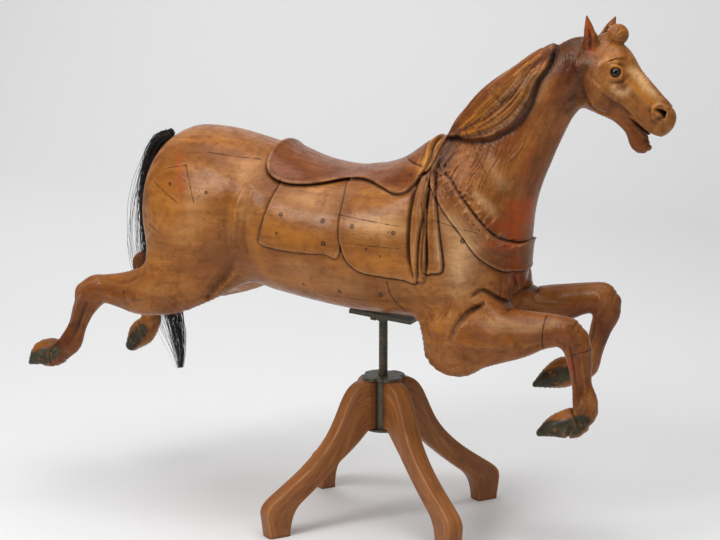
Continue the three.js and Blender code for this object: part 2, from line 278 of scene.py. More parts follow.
# the horse's anatomy: rows of x, top, bottom and half width for the trunk; see Limb for the rest
trunkRows = [
    (-468, 612, 522, 50), (-457, 668, 486, 90), (-434, 706, 455, 113), (-390, 732, 425, 129),
    (-335, 735, 412, 137),
    (-270, 724, 448, 137), (-200, 706, 432, 141), (-120, 680, 419, 147), (-40, 673, 409, 149),
    (40, 690, 406, 147),
    (110, 724, 402, 139), (170, 728, 402, 128), (222, 710, 410, 104), (254, 680, 428, 72),
    (272, 612, 468, 36),
]
horseForm = {
    "neck": ((163, 0, 586, 108, 90), (206, 0, 660, 94, 74), (246, 0, 729, 84, 60), (280, 0, 782, 74, 51),
             (315, 0, 827, 64, 45), (350, 0, 857, 58, 42), (385, 0, 874, 53, 38)),
    "head": ((372, 0, 896, 34, 30), (392, 0, 885, 54, 40), (418, 0, 868, 67, 45), (450, 0, 844, 57, 39),
             (481, 0, 826, 44, 31), (504, 0, 809, 38, 27), (518, 0, 798, 36, 27),
             (528, 0, 791, 31, 24)),
    "jaw": ((440, 0, 806, 13, 20), (473, 0, 778, 13, 17), (490, 0, 751, 17, 17), (502, 0, 744, 12, 13),
            (506, 0, 743, 6, 8)),
    "crest": ((136, 0, 724, 9, 16), (164, 0, 766, 12, 18), (209, 0, 812, 12, 18), (256, 0, 845, 12, 18),
              (312, 0, 883, 12, 18), (367, 0, 916, 12, 18), (396, 0, 924, 10, 16)),
    "nearEar": ((404, -20, 902, 14, 12), (404, -24, 926, 13, 9), (401, -27, 950, 9, 6),
                (397, -29, 973, 1.6, 1.6)),
    "farEar": ((408, 20, 902, 14, 12), (416, 24, 928, 13, 9), (424, 28, 950, 9, 6),
               (432, 29, 968, 1.6, 1.6)),
    "forelock": ((404, 4, 920, 14, 22), (422, 4, 929, 12, 19), (438, 4, 934, 12, 17)),
    "nearUpperFore": ((118, -74, 418, 14, 18), (130, -78, 413, 27, 30), (148, -82, 404, 48, 42),
                      (167, -86, 394, 70, 48),
                      (188, -90, 390, 74, 49), (222, -90, 395, 61, 44), (266, -90, 400, 50, 39),
                      (303, -90, 407, 44, 34), (341, -90, 415, 34, 29), (372, -90, 418, 29, 26),
                      (398, -90, 414, 25, 23), (414, -90, 410, 12, 13)),
    "nearForeCannon": ((392, -90, 422, 20, 18), (408, -90, 398, 26, 24), (416, -90, 362, 22, 19),
                       (420, -90, 325, 18, 17), (427, -90, 292, 23, 21), (427, -90, 268, 20, 19)),
    "nearForeHoof": ((436, -90, 276, 15, 15), (420, -90, 263, 22, 21), (405, -90, 252, 28, 26),
                     (372, -90, 243, 20, 27), (347, -90, 230, 8, 22)),
    "farUpperFore": ((130, 74, 418, 30, 28), (160, 80, 410, 58, 44), (200, 86, 412, 60, 47),
                     (263, 90, 414, 42, 38),
                     (319, 90, 427, 36, 32), (360, 90, 439, 30, 27), (392, 90, 445, 27, 25),
                     (414, 90, 444, 22, 21),
                     (426, 90, 442, 10, 12)),
    "farForeCannon": ((402, 90, 450, 20, 20), (412, 90, 422, 25, 23), (400, 90, 385, 20, 18),
                      (389, 90, 346, 17, 16),
                      (376, 90, 312, 21, 20), (362, 90, 298, 18, 18)),
    "farForeHoof": ((372, 90, 314, 14, 14), (352, 90, 305, 21, 21), (333, 90, 297, 29, 26),
                    (309, 90, 286, 23, 27),
                    (279, 90, 270, 7, 22)),
    "nearThigh": ((-300, -58, 560, 112, 62), (-350, -72, 500, 96, 60), (-400, -90, 447, 68, 50),
                  (-436, -98, 427, 50, 40), (-470, -98, 421, 43, 33), (-503, -98, 421, 34, 26),
                  (-536, -98, 421, 28, 22), (-562, -98, 416, 27, 22), (-582, -98, 410, 20, 18)),
    "nearHindCannon": ((-553, -98, 424, 20, 18), (-570, -98, 402, 26, 21), (-586, -98, 376, 22, 18),
                       (-600, -98, 342, 18, 16), (-615, -98, 310, 22, 20), (-630, -98, 294, 20, 19)),
    "nearHindHoof": ((-618, -98, 304, 15, 15), (-636, -98, 290, 21, 20), (-654, -98, 284, 28, 25),
                     (-680, -98, 279, 24, 27), (-699, -98, 263, 7, 21)),
    "farThigh": ((-290, 58, 552, 118, 62), (-345, 72, 493, 104, 60), (-400, 90, 443, 68, 50),
                 (-440, 98, 428, 47, 40),
                 (-480, 98, 429, 40, 33), (-515, 98, 433, 33, 26), (-542, 98, 434, 27, 22),
                 (-563, 98, 437, 17, 16)),
    "farHindCannon": ((-548, 98, 444, 16, 16), (-554, 98, 415, 25, 20), (-549, 98, 375, 18, 16),
                      (-544, 98, 340, 17, 16), (-543, 98, 318, 21, 20)),
    "farHindHoof": ((-540, 98, 322, 18, 18), (-550, 98, 304, 23, 23), (-566, 98, 286, 26, 26),
                    (-583, 98, 264, 14, 24)),
}
joinOrder = [  # name, how softly it runs into what is already there
    ("neck", 46), ("nearThigh", 34), ("farThigh", 34), ("nearUpperFore", 32), ("farUpperFore", 26),
    ("nearHindCannon", 12), ("farHindCannon", 12), ("nearForeCannon", 12), ("farForeCannon", 12),
    ("nearHindHoof", 2.5), ("farHindHoof", 2.5), ("nearForeHoof", 2.5), ("farForeHoof", 2.5),
    ("head", 12), ("jaw", 7), ("crest", 12), ("nearEar", 5), ("farEar", 5), ("forelock", 4),
]
trunkPower = 2.15   # a little squarer than an ellipse
trunkEnd = 2.6     # how bluntly the trunk closes at its ends
trunk = smoothPath(trunkRows, 4.0, 1)
limbs = [Limb(horseForm[name], blend, 5.0 if name in ("head", "jaw", "nearEar", "farEar") else 8.0)
         for name, blend in joinOrder]
eyes = {"centre": (455, 37, 878), "radius": 10.5, "lid": 2.3, "socket": 0.25}


def pair(centre, radii, blend, tilt=0.0):
    x, y, z = centre
    return [Ball((x, -y, z), radii, blend, tilt), Ball((x, y, z), radii, blend, tilt)]


shoulders = pair((172, 74, 560), (80, 56, 120), 40) + pair((212, 58, 470), (62, 46, 70), 30)
smallForms = (pair((430, 30, 846), (38, 18, 34), 12, 30)       # cheeks
              + pair((444, 28, 893), (22, 13, 12), 9, 35)      # brows
              + pair((390, 39, 884), (11, 9, 11), 3.5)         # jaw knobs
              + pair((530, 16, 806), (15, 10, 13), 6)          # nostril wings
              + [Ball((445, 3, 940), (19, 21, 19), 3)])        # forelock curl


def lidArc(side, sweep, lift):
    x, y, z = eyes["centre"]
    out = []
    for a in np.linspace(sweep[0], sweep[1], 9):
        r = eyes["radius"] + 1.6
        out.append((x + r * math.cos(math.radians(a)), side * (y + 5.5 - 3 * abs(math.cos(math.radians(a)))),
                    z + r * 0.9 * math.sin(math.radians(a)) + lift, eyes["lid"], eyes["lid"] * 1.25))
    return out


for side in (-1, 1):
    limbs.append(Limb(lidArc(side, (-12, 192), 0.5), 3.0, 3.0))
    limbs.append(Limb(lidArc(side, (168, 372), -0.5), 3.0, 3.0))


def bodyDistance(p):
    # signed distance to the carved horse, relief included
    x, y, z = p[:, 0], p[:, 1], p[:, 2]
    cx = np.clip(x, trunk[0, 0], trunk[-1, 0])
    top = np.interp(cx, trunk[:, 0], trunk[:, 1])
    low = np.interp(cx, trunk[:, 0], trunk[:, 2])
    wide = np.interp(cx, trunk[:, 0], trunk[:, 3])
    mid, half = (top + low) / 2, (top - low) / 2
    e = np.abs(x - cx) / np.minimum(half, wide) * trunkEnd
    a, b = np.abs(z - mid) / half, np.abs(y) / wide
    r = (a ** trunkPower + b ** trunkPower + e ** trunkPower) ** (1 / trunkPower)
    r = np.maximum(r, 1e-4)
    slope = r ** (1 - trunkPower)
    g = np.sqrt((a ** (trunkPower - 1) / half) ** 2 + (b ** (trunkPower - 1) / wide) ** 2
                + (e ** (trunkPower - 1) * trunkEnd / np.minimum(half, wide)) ** 2) * slope
    d = ((r - 1) / np.maximum(g, 1e-4)).astype(np.float32)
    for shape in shoulders + limbs + smallForms:
        m = np.nonzero(((p > shape.low) & (p < shape.high)).all(1))[0]
        if len(m):
            d[m] = join(d[m], shape.distance(p[m]), shape.blend)
    relief = lookUp("relief", x, y, z)
    d = d - relief
    for side in (-1, 1):
        c = np.float32((eyes["centre"][0], side * eyes["centre"][1], eyes["centre"][2]))
        d = np.maximum(d, eyes["radius"] + eyes["socket"] - np.linalg.norm(p - c, axis=1))
    return d.astype(np.float32)


def distances(p, chunk=60000):
    parts = [p[i:i + chunk] for i in range(0, len(p), chunk)]
    with ThreadPoolExecutor(4) as pool:
        return np.concatenate(list(pool.map(bodyDistance, parts))) if parts else np.zeros(0, np.float32)


# what is carved on the horse
chisel = np.random.RandomState(11)

saddle = {"rise": 7.0, "lip": 2.2, "groove": 3.0}
saddleOutline = [(-203, 800), (-205, 745), (-201, 714), (-196, 686), (-180, 666), (-150, 655), (-115, 653),
                 (-80, 657),
                 (-44, 664), (-12, 667), (14, 665), (42, 659), (70, 652), (92, 655), (108, 669), (118, 690),
                 (121, 712),
                 (114, 735), (112, 800)]
rearPanel = [(-150, 690), (-160, 652), (-172, 617), (-183, 579), (-189, 546), (-157, 537), (-106, 534),
             (-56, 536),
             (-24, 541), (-24, 690)]
frontPanel = [(-27, 700), (-28, 627), (-25, 573), (-15, 536), (-1, 517), (19, 506), (54, 501), (93, 497),
              (120, 495),
              (128, 560), (126, 700)]
secondFlap = [(137, 716), (153, 650), (165, 583), (172, 529), (166, 517), (150, 515), (138, 517), (140, 600),
              (134, 655)]
collar = [(132, 704), (152, 694), (176, 677), (199, 649), (229, 611), (251, 583), (275, 562), (308, 556),
          (308, 508),
          (275, 510), (254, 524), (232, 547), (202, 589), (179, 617), (157, 645), (130, 690)]


def level(side, outline, names=("relief", "dark", "pale"), soft=2.0):
    # takes back what is drawn inside an outline
    where, d = outlineField(outline, soft + 2)
    for name in names:
        boards[side, name][where] *= 1 - ease(d, -soft, soft)


panel("both", rearPanel, 2.4, 3, 0.5, 4, 1.8, 1.6)
level("both", [(-26, 700), (-27, 627), (-24, 573), (-14, 538), (0, 520), (60, 506), (126, 500), (126, 700)])
panel("both", frontPanel, 4.6, 3.5, 1.0, 5, 2.4, 1.9)
panel("both", secondFlap, 4.6, 3.5, 1.6, 4, 2.4, 1.9)

# the rolled fold and its valleys
pencil("both", "relief", [(124, 700, 8, 3), (126, 650, 13, 9), (127, 590, 15, 11), (128, 530, 15, 11),
                          (128, 506, 12, 8)],
       "round")
foldValleys = [
    [(122, 700, 6, -3), (112, 653, 7, -5), (109, 600, 7, -6), (110, 545, 7, -5), (117, 506, 5, -3)],
    [(136, 700, 3, -3), (139, 655, 4, -4), (142, 600, 4, -5), (144, 545, 4, -5), (141, 512, 4, -4)],
    [(127, 690, 2.0, -0.8), (129, 640, 2.2, -1.6), (131, 590, 2.2, -1.6), (132, 540, 2.0, -1)],
    [(146, 690, 2.2, -1), (154, 640, 2.4, -2.0), (160, 585, 2.4, -2.0), (163, 535, 2.2, -1.4)],
    [(141, 700, 2.0, -0.8), (149, 645, 2.4, -1.8), (154, 590, 2.2, -1.4), (157, 540, 2.0, -0.8)],
]
for rows in foldValleys:
    pencil("both", "relief", rows)
panel("both", collar, 3.6, 3.5, 1.2, 4, 2.2, 1.8)
level("both", [(100, 694), (131, 692), (134, 770), (100, 770)])
panel("both", [(100, 696), (127, 695), (130, 770), (100, 770)], 3.5, 3, 0.6, 3, 2.0, 2.0)   # withers strap
level("both", saddleOutline)
panel("both", saddleOutline, saddle["rise"], 5, saddle["lip"], 4, saddle["groove"], 2.6)
seatForms = [
    [(-200, 700, 24, 2), (-196, 728, 26, 5), (-186, 750, 26, 6)],
    [(-120, 700, 30, -1), (-40, 690, 30, -2), (30, 690, 30, -1)],
    [(10, 715, 26, 2), (60, 730, 28, 6), (104, 740, 24, 6)],
]
for rows in seatForms:
    pencil("both", "relief", rows, "soft")
saddleSeams = [
    [(-86, 692, 5, 0.5), (-52, 685, 5, 1.3), (-15, 680, 5, 1.5), (20, 680, 5, 1.1), (60, 688, 5, 0.3)],
    [(63, 706, 2.4, -1), (78, 703, 3.0, -2.6), (116, 698, 3.0, -2.6)],
    [(103, 742, 3, -2), (104, 722, 3.4, -3), (106, 700, 3, -2)],
    [(128, 742, 3, -3), (127, 722, 3.6, -4), (127, 704, 3, -3)],
]
for rows in saddleSeams:
    pencil("both", "relief", rows)

# carved sprays along the collar and below the neck: small leaves set at all angles, with drilled eyes
sprays = {"leaves": 46, "eyes": 11}
for i in range(sprays["leaves"]):
    t = chisel.uniform(0, 1)
    cx = np.interp(t, (0, 0.4, 1), (140, 200, 272)) + chisel.uniform(-2, 20)
    cz = np.interp(t, (0, 0.4, 1), (694, 632, 548)) + chisel.uniform(-6, 26)
    turn, length = chisel.uniform(0, math.pi), chisel.uniform(4, 7.5)
    dx, dz = math.cos(turn) * length, math.sin(turn) * length
    bend = chisel.uniform(-2.5, 2.5)
    pencil("both", "relief", [(cx - dx, cz - dz, 1.4, 0.8), (cx - dz * bend * 0.2, cz + dx * bend * 0.2, 3.0,
                                                             chisel.uniform(1.8, 3.4)),
                              (cx + dx, cz + dz, 1.6, 0.8)], "round")
for i in range(sprays["eyes"]):
    t = (i + 0.5) / sprays["eyes"]
    cx = np.interp(t, (0, 0.4, 1), (146, 204, 270)) + chisel.uniform(-3, 4)
    cz = np.interp(t, (0, 0.4, 1), (688, 628, 545)) + chisel.uniform(-3, 10)
    pencil("both", "relief", [(cx - 0.6, cz, 2.2, -2.6), (cx + 0.6, cz, 2.2, -2.6)])
for k in range(3):   # cut lines that keep the collar's lower edge company
    off = 3 + 5 * k
    pencil("both", "relief", [(134 + off, 688 + off, 1.3, -0.9), (182 + off, 618 + off, 1.4, -1.3),
                              (234 + off, 549 + off, 1.4, -1.3),
                              (272 + off, 513 + off, 1.3, -1.0)])
for x in (262, 271, 288):
    pencil("both", "relief", [(x, 506, 1.8, -1), (x + 2, 486, 2.0, -2), (x + 1, 470, 1.8, -1)])

# muscles and creases of the trunk
trunkCreases = [
    [(240, 460, 6, -4), (223, 450, 9, -6), (208, 437, 10, -6.5), (196, 419, 9, -5), (188, 398, 7, -3)],
    [(218, 471, 5, -2), (236, 484, 7, -5), (259, 467, 7, -5), (282, 450, 6, -3)],
    [(206, 462, 13, 3), (236, 462, 13, 5), (270, 440, 14, 5), (312, 430, 12, 4), (350, 430, 9, 2)],
    [(228, 425, 16, 5), (262, 405, 15, 5), (300, 398, 12, 3)],
    [(146, 392, 14, -4), (132, 412, 14, -4), (118, 440, 12, -2)],
    [(150, 500, 30, 3), (200, 520, 34, 4), (236, 560, 30, 3)],
    [(-225, 640, 8, 1), (-234, 611, 10, 4), (-239, 573, 11, 5), (-241, 535, 10, 4), (-233, 508, 8, 2)],
    [(-210, 640, 8, -1), (-217, 600, 9, -3.5), (-221, 560, 9, -4), (-218, 520, 8, -3)],
    [(-250, 640, 12, -1), (-259, 600, 14, -4), (-263, 560, 14, -5), (-258, 520, 12, -4)],
    [(-246, 506, 12, -3), (-272, 474, 14, -8), (-300, 446, 13, -9), (-318, 424, 10, -6)],
    [(-330, 600, 46, 4), (-380, 560, 46, 6), (-410, 500, 34, 3)],
    [(-300, 690, 40, 3), (-360, 680, 44, 3)],
    [(-432, 640, 14, -2), (-446, 600, 14, -3), (-440, 560, 12, -2)],
    [(-440, 470, 10, -3), (-462, 450, 9, -4), (-490, 440, 7, -3), (-516, 440, 5, -1)],
    [(-440, 420, 9, 2), (-480, 412, 8, 3), (-520, 414, 6, 2)],
    [(-446, 728, 9, 1), (-410, 738, 11, 3), (-370, 742, 9, 2), (-335, 744, 6, 0)],
]
for rows in trunkCreases:
    pencil("both", "relief", rows, "bell" if rows[0][2] < 20 else "soft")
pencil("near", "relief", [(186, 400, 10, 3), (240, 385, 12, 4), (300, 392, 9, 3)])

# tendons, joints and hooves of the near legs
nearLegs = [
    [(404, 396, 5, -2), (408, 366, 5, -3.5), (412, 334, 5, -3), (418, 312, 4, -1)],
    [(424, 384, 4, 2), (428, 350, 4, 2.4), (432, 316, 4, 2)],
    [(392, 432, 10, 3), (404, 414, 10, 3.5), (412, 396, 9, 2)],
    [(380, 404, 6, -2), (394, 396, 6, -3)],
    [(428, 296, 8, 3), (418, 282, 7, 2)],
    [(-566, 396, 5, -2), (-582, 366, 5, -3.5), (-596, 334, 5, -3), (-608, 312, 4, -1)],
    [(-580, 408, 7, 4), (-592, 384, 6, 3), (-604, 352, 5, 2.4)],
    [(-548, 440, 7, 2), (-572, 428, 8, 4), (-588, 412, 6, 2)],
    [(-618, 306, 8, 3), (-612, 292, 6, 2)],
]
for rows in nearLegs:
    pencil("near", "relief", rows)
farLegs = [
    [(396, 420, 5, -2), (392, 390, 5, -3), (384, 356, 5, -2.6), (376, 330, 4, -1)],
    [(-558, 410, 5, -2), (-556, 380, 5, -3), (-550, 345, 5, -2.6)],
    [(404, 450, 9, 3), (412, 434, 9, 3)],
]
for rows in farLegs:
    pencil("far", "relief", rows)
# coronet line and the cleft of each hoof
for side, rows in (("near", [(400, 281, 3, -3), (418, 262, 3.4, -4), (424, 240, 3, -3)]),
                   ("near", [(-636, 308, 3, -3), (-650, 290, 3.4, -4), (-650, 262, 3, -3)]),
                   ("far", [(336, 330, 3, -3), (352, 308, 3.4, -4), (352, 284, 3, -3)]),
                   ("far", [(-572, 322, 3, -3), (-556, 306, 3.4, -4), (-546, 288, 3, -3)]),
                   ("near", [(408, 250, 5, -3), (400, 232, 5, -5), (398, 220, 5, -5)]),
                   ("near", [(-652, 268, 4, -3), (-648, 254, 5, -5)])):
    pencil(side, "relief", rows)

# the face, the same on both sides
face = [
    [(420, 858, 5, 0.5), (446, 838, 6, 3.4), (470, 820, 5.5, 3.4), (489, 799, 5, 2.6), (499, 788, 4, 1)],
    [(432, 840, 7, -1.5), (452, 822, 8, -3), (478, 803, 7, -2.4)],
    [(468, 852, 11, -2.6), (492, 828, 10, -2.8), (510, 812, 7, -1.5)],
    [(462, 874, 7, 1.5), (488, 846, 7, 2.6), (514, 820, 6, 2)],
    [(522, 815, 4, -1), (529, 813, 6, -7), (537, 808, 7, -13), (538, 801, 5, -6)],
    [(519, 806, 3, 1.5), (522, 819, 3.5, 3.4), (532, 824, 3.8, 3.8), (543, 817, 3.4, 2.6)],
    [(520, 800, 4, 1.5), (526, 795, 5.5, 3), (534, 791, 5, 2.4)],
    [(516, 824, 3, -1.6), (513, 812, 4, -2.4), (517, 800, 3.4, -1.6)],
    [(474, 798, 2.6, -2), (482, 791, 3.2, -6), (492, 783, 3.4, -8), (503, 774, 3.6, -8), (514, 767, 4, -7),
     (526, 762, 4, -5)],
    [(484, 800, 3, 1.2), (496, 790, 3.4, 2), (510, 778, 3.6, 2)],
    [(482, 782, 3, 1.6), (494, 770, 3.4, 2.4), (506, 758, 3.2, 2)],
    [(392, 874, 5, -1), (393, 856, 7, -4), (400, 834, 7, -4), (414, 812, 6, -3), (430, 803, 5, -1)],
    [(402, 884, 5, -1.5), (412, 870, 6, -2.5), (426, 856, 5, -1)],
    [(476, 884, 4, 1), (462, 896, 5, 2.4), (446, 897, 5, 2.4), (434, 888, 4, 1)],
    [(474, 872, 4, -1.4), (466, 862, 4.5, -2.4), (450, 860, 4, -2)],
    [(446, 852, 3, 0.8), (462, 853, 3, 1.4), (476, 862, 3, 0.8)],
]
for rows in face:
    pencil("both", "relief", rows)
for i in range(4):   # wrinkles over the brow
    pencil("both", "relief", [(424 + i * 4, 884 + i * 3, 1.6, 0.4), (434 + i * 5, 896 + i * 2.4, 1.9, 1.5),
                              (450 + i * 6, 902 + i * 1.0, 1.6, 0.5)])
    pencil("both", "relief", [(430 + i * 5, 886 + i * 3, 1.2, -0.5), (442 + i * 5, 897 + i * 2, 1.4, -1.2),
                              (458 + i * 5, 900 - i, 1.2, -0.3)])
pencil("near", "relief", [(406, 910, 3, -1), (405, 930, 5.5, -4), (402, 950, 3.5, -3)])
pencil("far", "relief", [(414, 915, 3, -1), (417, 934, 5, -5), (420, 950, 3, -3)])

# locks of the mane: many strands between an upper and a lower guide
upperGuide = smoothPath([(322, 926), (292, 908), (256, 884), (225, 860), (198, 834), (176, 806), (158, 778),
                         (144, 754)], 3, 2)
lowerGuide = smoothPath([(334, 908), (331, 887), (311, 857), (298, 818), (279, 789), (254, 770), (230, 758),
                         (204, 754),
                         (180, 753), (158, 753)], 3, 2)
maneOutline = [(322, 935), (338, 914), (334, 887), (314, 856), (302, 815), (283, 783), (256, 763),
               (232, 750), (204, 746),
               (180, 746), (156, 748), (136, 744), (140, 768), (165, 812), (205, 856), (256, 896),
               (300, 926)]
panel("near", maneOutline, 9.5, 13, 0.0, 6, 2.2, 3.4)


def along(guide, t):
    i = t * (len(guide) - 1)
    k = np.clip(i.astype(int), 0, len(guide) - 2)
    return guide[k] + (guide[k + 1] - guide[k]) * (i - k)[:, None]


mane = {"strands": 30, "neckHairs": 58, "litStrands": 26}
for k in range(mane["strands"]):
    s = (k + 0.5) / mane["strands"]
    t = np.linspace(chisel.uniform(0, 0.10), 1 - chisel.uniform(0, 0.12), 9)
    drift = s + 0.045 * np.sin(2 * math.pi * (t * 1.1 + chisel.uniform(0, 1))) * (1
            - t) + 0.02 * chisel.uniform(-1, 1)
    drift = np.clip(drift, 0.0, 1.0)[:, None]
    a, b = along(upperGuide, t), along(lowerGuide, t)
    path = a * (1 - drift) + b * drift
    gap = np.linalg.norm(a - b, axis=1) / mane["strands"]
    wide = np.clip(gap * chisel.uniform(0.75, 1.35), 1.3, 4.2)
    tall = np.clip(wide * 1.45, 1.8, 5.6) * np.interp(t, (0, 0.12, 0.85, 1), (0.3, 1, 1, 0.3))
    pencil("near", "hair", np.column_stack([path, wide, tall]), "round", "max")
for k in range(mane["neckHairs"]):   # fine hair combed down the neck from under the mane
    s = (k + 0.5) / mane["neckHairs"]
    x0, z0 = 146 + 150 * s, 752 + 30 * max(0, s - 0.55)
    x1 = 136 + 122 * s + chisel.uniform(-3, 3)
    z1 = 712 - 66 * math.sin(math.pi * min(1, 0.12 + s * 0.8)) + chisel.uniform(-10, 10)
    wave, tall = chisel.uniform(1.5, 5), chisel.uniform(1.2, 2.8)
    pencil("near", "hair", [(x0, z0, 1.5, tall * 0.6), (x0 * 0.65 + x1 * 0.35 + wave, z0 * 0.65 + z1 * 0.35,
                                                        1.9, tall),
                            (x0 * 0.3 + x1 * 0.7 - wave, z0 * 0.3 + z1 * 0.7, 1.9, tall),
                            (x1 + wave, z1, 1.2, 0.3)],
           "round", "max")
for k in range(30):   # rough cuts behind the poll and on the jowl
    cx, cz = chisel.uniform(345, 400), chisel.uniform(812, 915)
    if abs((cz - 812) - (cx - 345) * 1.2) > 46:
        continue
    pencil("both", "relief", [(cx, cz, 1.6, -0.6), (cx + chisel.uniform(-3, 3), cz + 6, 2.0, -1.6),
                              (cx + chisel.uniform(0, 6), cz + 13, 1.5, -0.4)])
for k in range(26):
    cx, cz = chisel.uniform(404, 470), chisel.uniform(800, 862)
    if cz > 905 - 0.95 * (cx - 380):
        continue
    pencil("both", "relief", [(cx, cz, 1.4, -0.4), (cx + 3, cz - 3, 1.7, -1.1), (cx + 8, cz - 5, 1.3, -0.3)])
for k in range(12):   # short locks behind the poll, the forelock and the curl
    x0 = 330 + 5 * k
    pencil("near", "hair", [(x0 + 8, 932, 2.0, 1.2), (x0, 916, 2.6, 2.4), (x0 - 3, 898, 2.4, 1.8),
                            (x0 - 2, 884, 1.6, 0.6)],
           "round", "max")
    pencil("far", "hair", [(x0 - 90 + k * 8, 905, 2.2, 1.4), (x0 - 100 + k * 8, 875, 3.0, 3),
                           (x0 - 118 + k * 8, 845, 2.4, 1)],
           "round", "max")
for k in range(9):   # strands that turn round the forelock's curl
    a = math.radians(-60 + 30 * k)
    pencil("both", "hair", [(440, 940, 1.6, 1.0), (440 + 9 * math.cos(a), 940 + 9 * math.sin(a), 2.0, 2.4),
                            (440 + 17 * math.cos(a + 0.5), 940 + 17 * math.sin(a + 0.5), 1.8, 1.6)], "round",
                            "max")
for k in range(8):
    pencil("both", "hair", [(392 + k * 5, 918 - k * 1.0, 1.8, 1.2), (402 + k * 5, 930, 2.4, 2.2),
                            (414 + k * 4, 944, 2.0, 1.2)],
           "round", "max")

# stains, painted shade and painted highlights, drawn on the same boards: x, z, half width, strength
stainsAndShadeBoth = {
    "red": [
        [(150, 640, 60, 0.35), (200, 690, 70, 0.7), (265, 770, 66, 0.9), (320, 840, 56, 0.9),
         (384, 880, 44, 0.85)],
        [(400, 856, 26, 0.85), (430, 828, 22, 0.8), (466, 800, 17, 0.7), (494, 762, 20, 0.85)],
        [(230, 415, 34, 0.3), (300, 410, 40, 0.55), (360, 415, 38, 0.8), (405, 410, 36, 0.9),
         (418, 350, 32, 0.9),
         (426, 285, 28, 0.8)],
        [(-470, 425, 34, 0.4), (-540, 420, 36, 0.7), (-580, 390, 34, 0.9), (-606, 330, 32, 0.95),
         (-640, 290, 28, 0.9)],
        [(250, 600, 34, 0.6), (276, 520, 26, 0.7), (280, 450, 20, 0.5)],
        [(150, 400, 26, 0.5), (230, 372, 26, 0.6), (300, 376, 22, 0.6)],
        [(-440, 725, 20, 0.6), (-400, 745, 18, 0.7), (-350, 748, 14, 0.5)],
        [(-60, 404, 26, 0.4), (60, 398, 26, 0.4), (120, 400, 24, 0.5)],
    ],
    "dark": [
        [(-560, 412, 16, 0.2), (-596, 350, 18, 0.4), (-640, 292, 20, 0.4)],
        [(404, 400, 16, 0.25), (420, 340, 18, 0.35), (427, 280, 18, 0.35)],
        [(360, 912, 22, 0.6), (380, 890, 16, 0.75), (388, 858, 12, 0.75), (398, 828, 10, 0.7)],
        [(372, 838, 20, 0.5), (352, 806, 16, 0.35)],
        [(402, 925, 14, 0.6), (416, 935, 12, 0.5)],
        # a painted shadow patch at the withers, in front of the ochre block
        [(138, 742, 11, 0.95), (150, 740, 14, 0.95), (148, 712, 12, 0.9), (142, 694, 8, 0.7)],
        [(340, 905, 20, 0.55), (366, 925, 20, 0.7), (398, 930, 14, 0.6)],
        [(404, 892, 14, 0.75), (392, 866, 16, 0.8), (372, 824, 12, 0.85)],
        [(378, 818, 10, 0.8), (362, 802, 10, 0.7)], [(430, 858, 9, 0.3), (452, 832, 9, 0.35),
                                                     (472, 806, 8, 0.4)],
        [(-462, 690, 14, 0.5), (-470, 640, 12, 0.4)],
        [(205, 880, 14, 0.5), (256, 905, 12, 0.5), (312, 935, 12, 0.5), (360, 945, 12, 0.5)],
        [(482, 786, 5, 0.7), (500, 772, 5, 0.7)],
        [(516, 792, 6, 0.5), (532, 800, 5, 0.9)],
    ],
    "gold": [
        [(440, 900, 16, 0.5), (470, 880, 14, 0.55), (500, 842, 14, 0.6), (524, 816, 12, 0.4)],
        [(118, 516, 14, 0.8), (118, 560, 9, 0.35)],
        [(20, 528, 26, 0.55), (80, 530, 22, 0.55)], [(-160, 570, 26, 0.4), (-90, 556, 26, 0.4)],
        [(114, 726, 9, 1.0), (115, 708, 9, 1.0)],
        [(-200, 560, 20, 0.4), (-180, 480, 24, 0.4), (-100, 470, 24, 0.45), (-20, 466, 20, 0.35)],
        [(-400, 640, 30, 0.3), (-330, 560, 40, 0.3)],
        [(260, 690, 16, 0.35), (300, 740, 14, 0.4)],
    ],
}
stainsAndHighlightsNear = {
    # pale: cream patches, with painted highlights among them on the front panel, the neck and the top of the
    # forearm
    "pale": [
        [(478, 882, 8, 0.9), (490, 872, 9, 1.0), (504, 856, 10, 1.0), (518, 842, 8, 0.9),
         (530, 832, 5, 0.5)],
        [(452, 854, 8, 0.9), (464, 842, 10, 1.0), (474, 846, 8, 0.9)],
        [(512, 846, 4, 0.5), (498, 858, 5, 0.6)],
        [(220, 658, 7, 0.6), (238, 638, 8, 0.7), (254, 616, 7, 0.5)],
        [(426, 896, 6, 0.4), (440, 901, 6, 0.45)],
        [(330, 860, 12, 0.25), (300, 800, 10, 0.2)],
        [(10, 600, 24, 0.55), (50, 598, 26, 0.75), (90, 598, 22, 0.6)],
        [(-60, 610, 30, 0.3), (-130, 630, 26, 0.2)],
        [(180, 614, 22, 0.6), (206, 572, 34, 0.95), (200, 520, 28, 0.85), (196, 480, 20, 0.5)],
        [(162, 590, 8, 0.5), (166, 540, 8, 0.5)],
        [(-230, 670, 24, 0.35), (-216, 590, 12, 0.3)], [(-300, 640, 30, 0.25), (-340, 560, 30, 0.25)],
        [(260, 428, 14, 0.45), (330, 426, 12, 0.5), (372, 436, 9, 0.45)],
        [(-120, 500, 30, 0.2), (0, 470, 24, 0.2)],
        [(232, 716, 14, 0.3), (246, 690, 12, 0.35), (262, 664, 10, 0.3)],
    ],
    "orange": [
        [(406, 915, 10, 0.95), (403, 940, 9, 0.95), (399, 965, 6, 0.8)],
        [(-372, 690, 8, 0.5), (-356, 640, 10, 0.55), (-364, 612, 6, 0.5)],
        [(402, 370, 11, 0.7), (404, 345, 10, 0.6)],
        [(252, 606, 14, 0.7), (272, 590, 16, 0.85), (274, 560, 14, 0.8), (250, 572, 10, 0.6)],
        [(276, 530, 10, 0.5), (276, 490, 9, 0.5)],
        [(292, 690, 10, 0.3), (302, 740, 9, 0.3)],
    ],
}
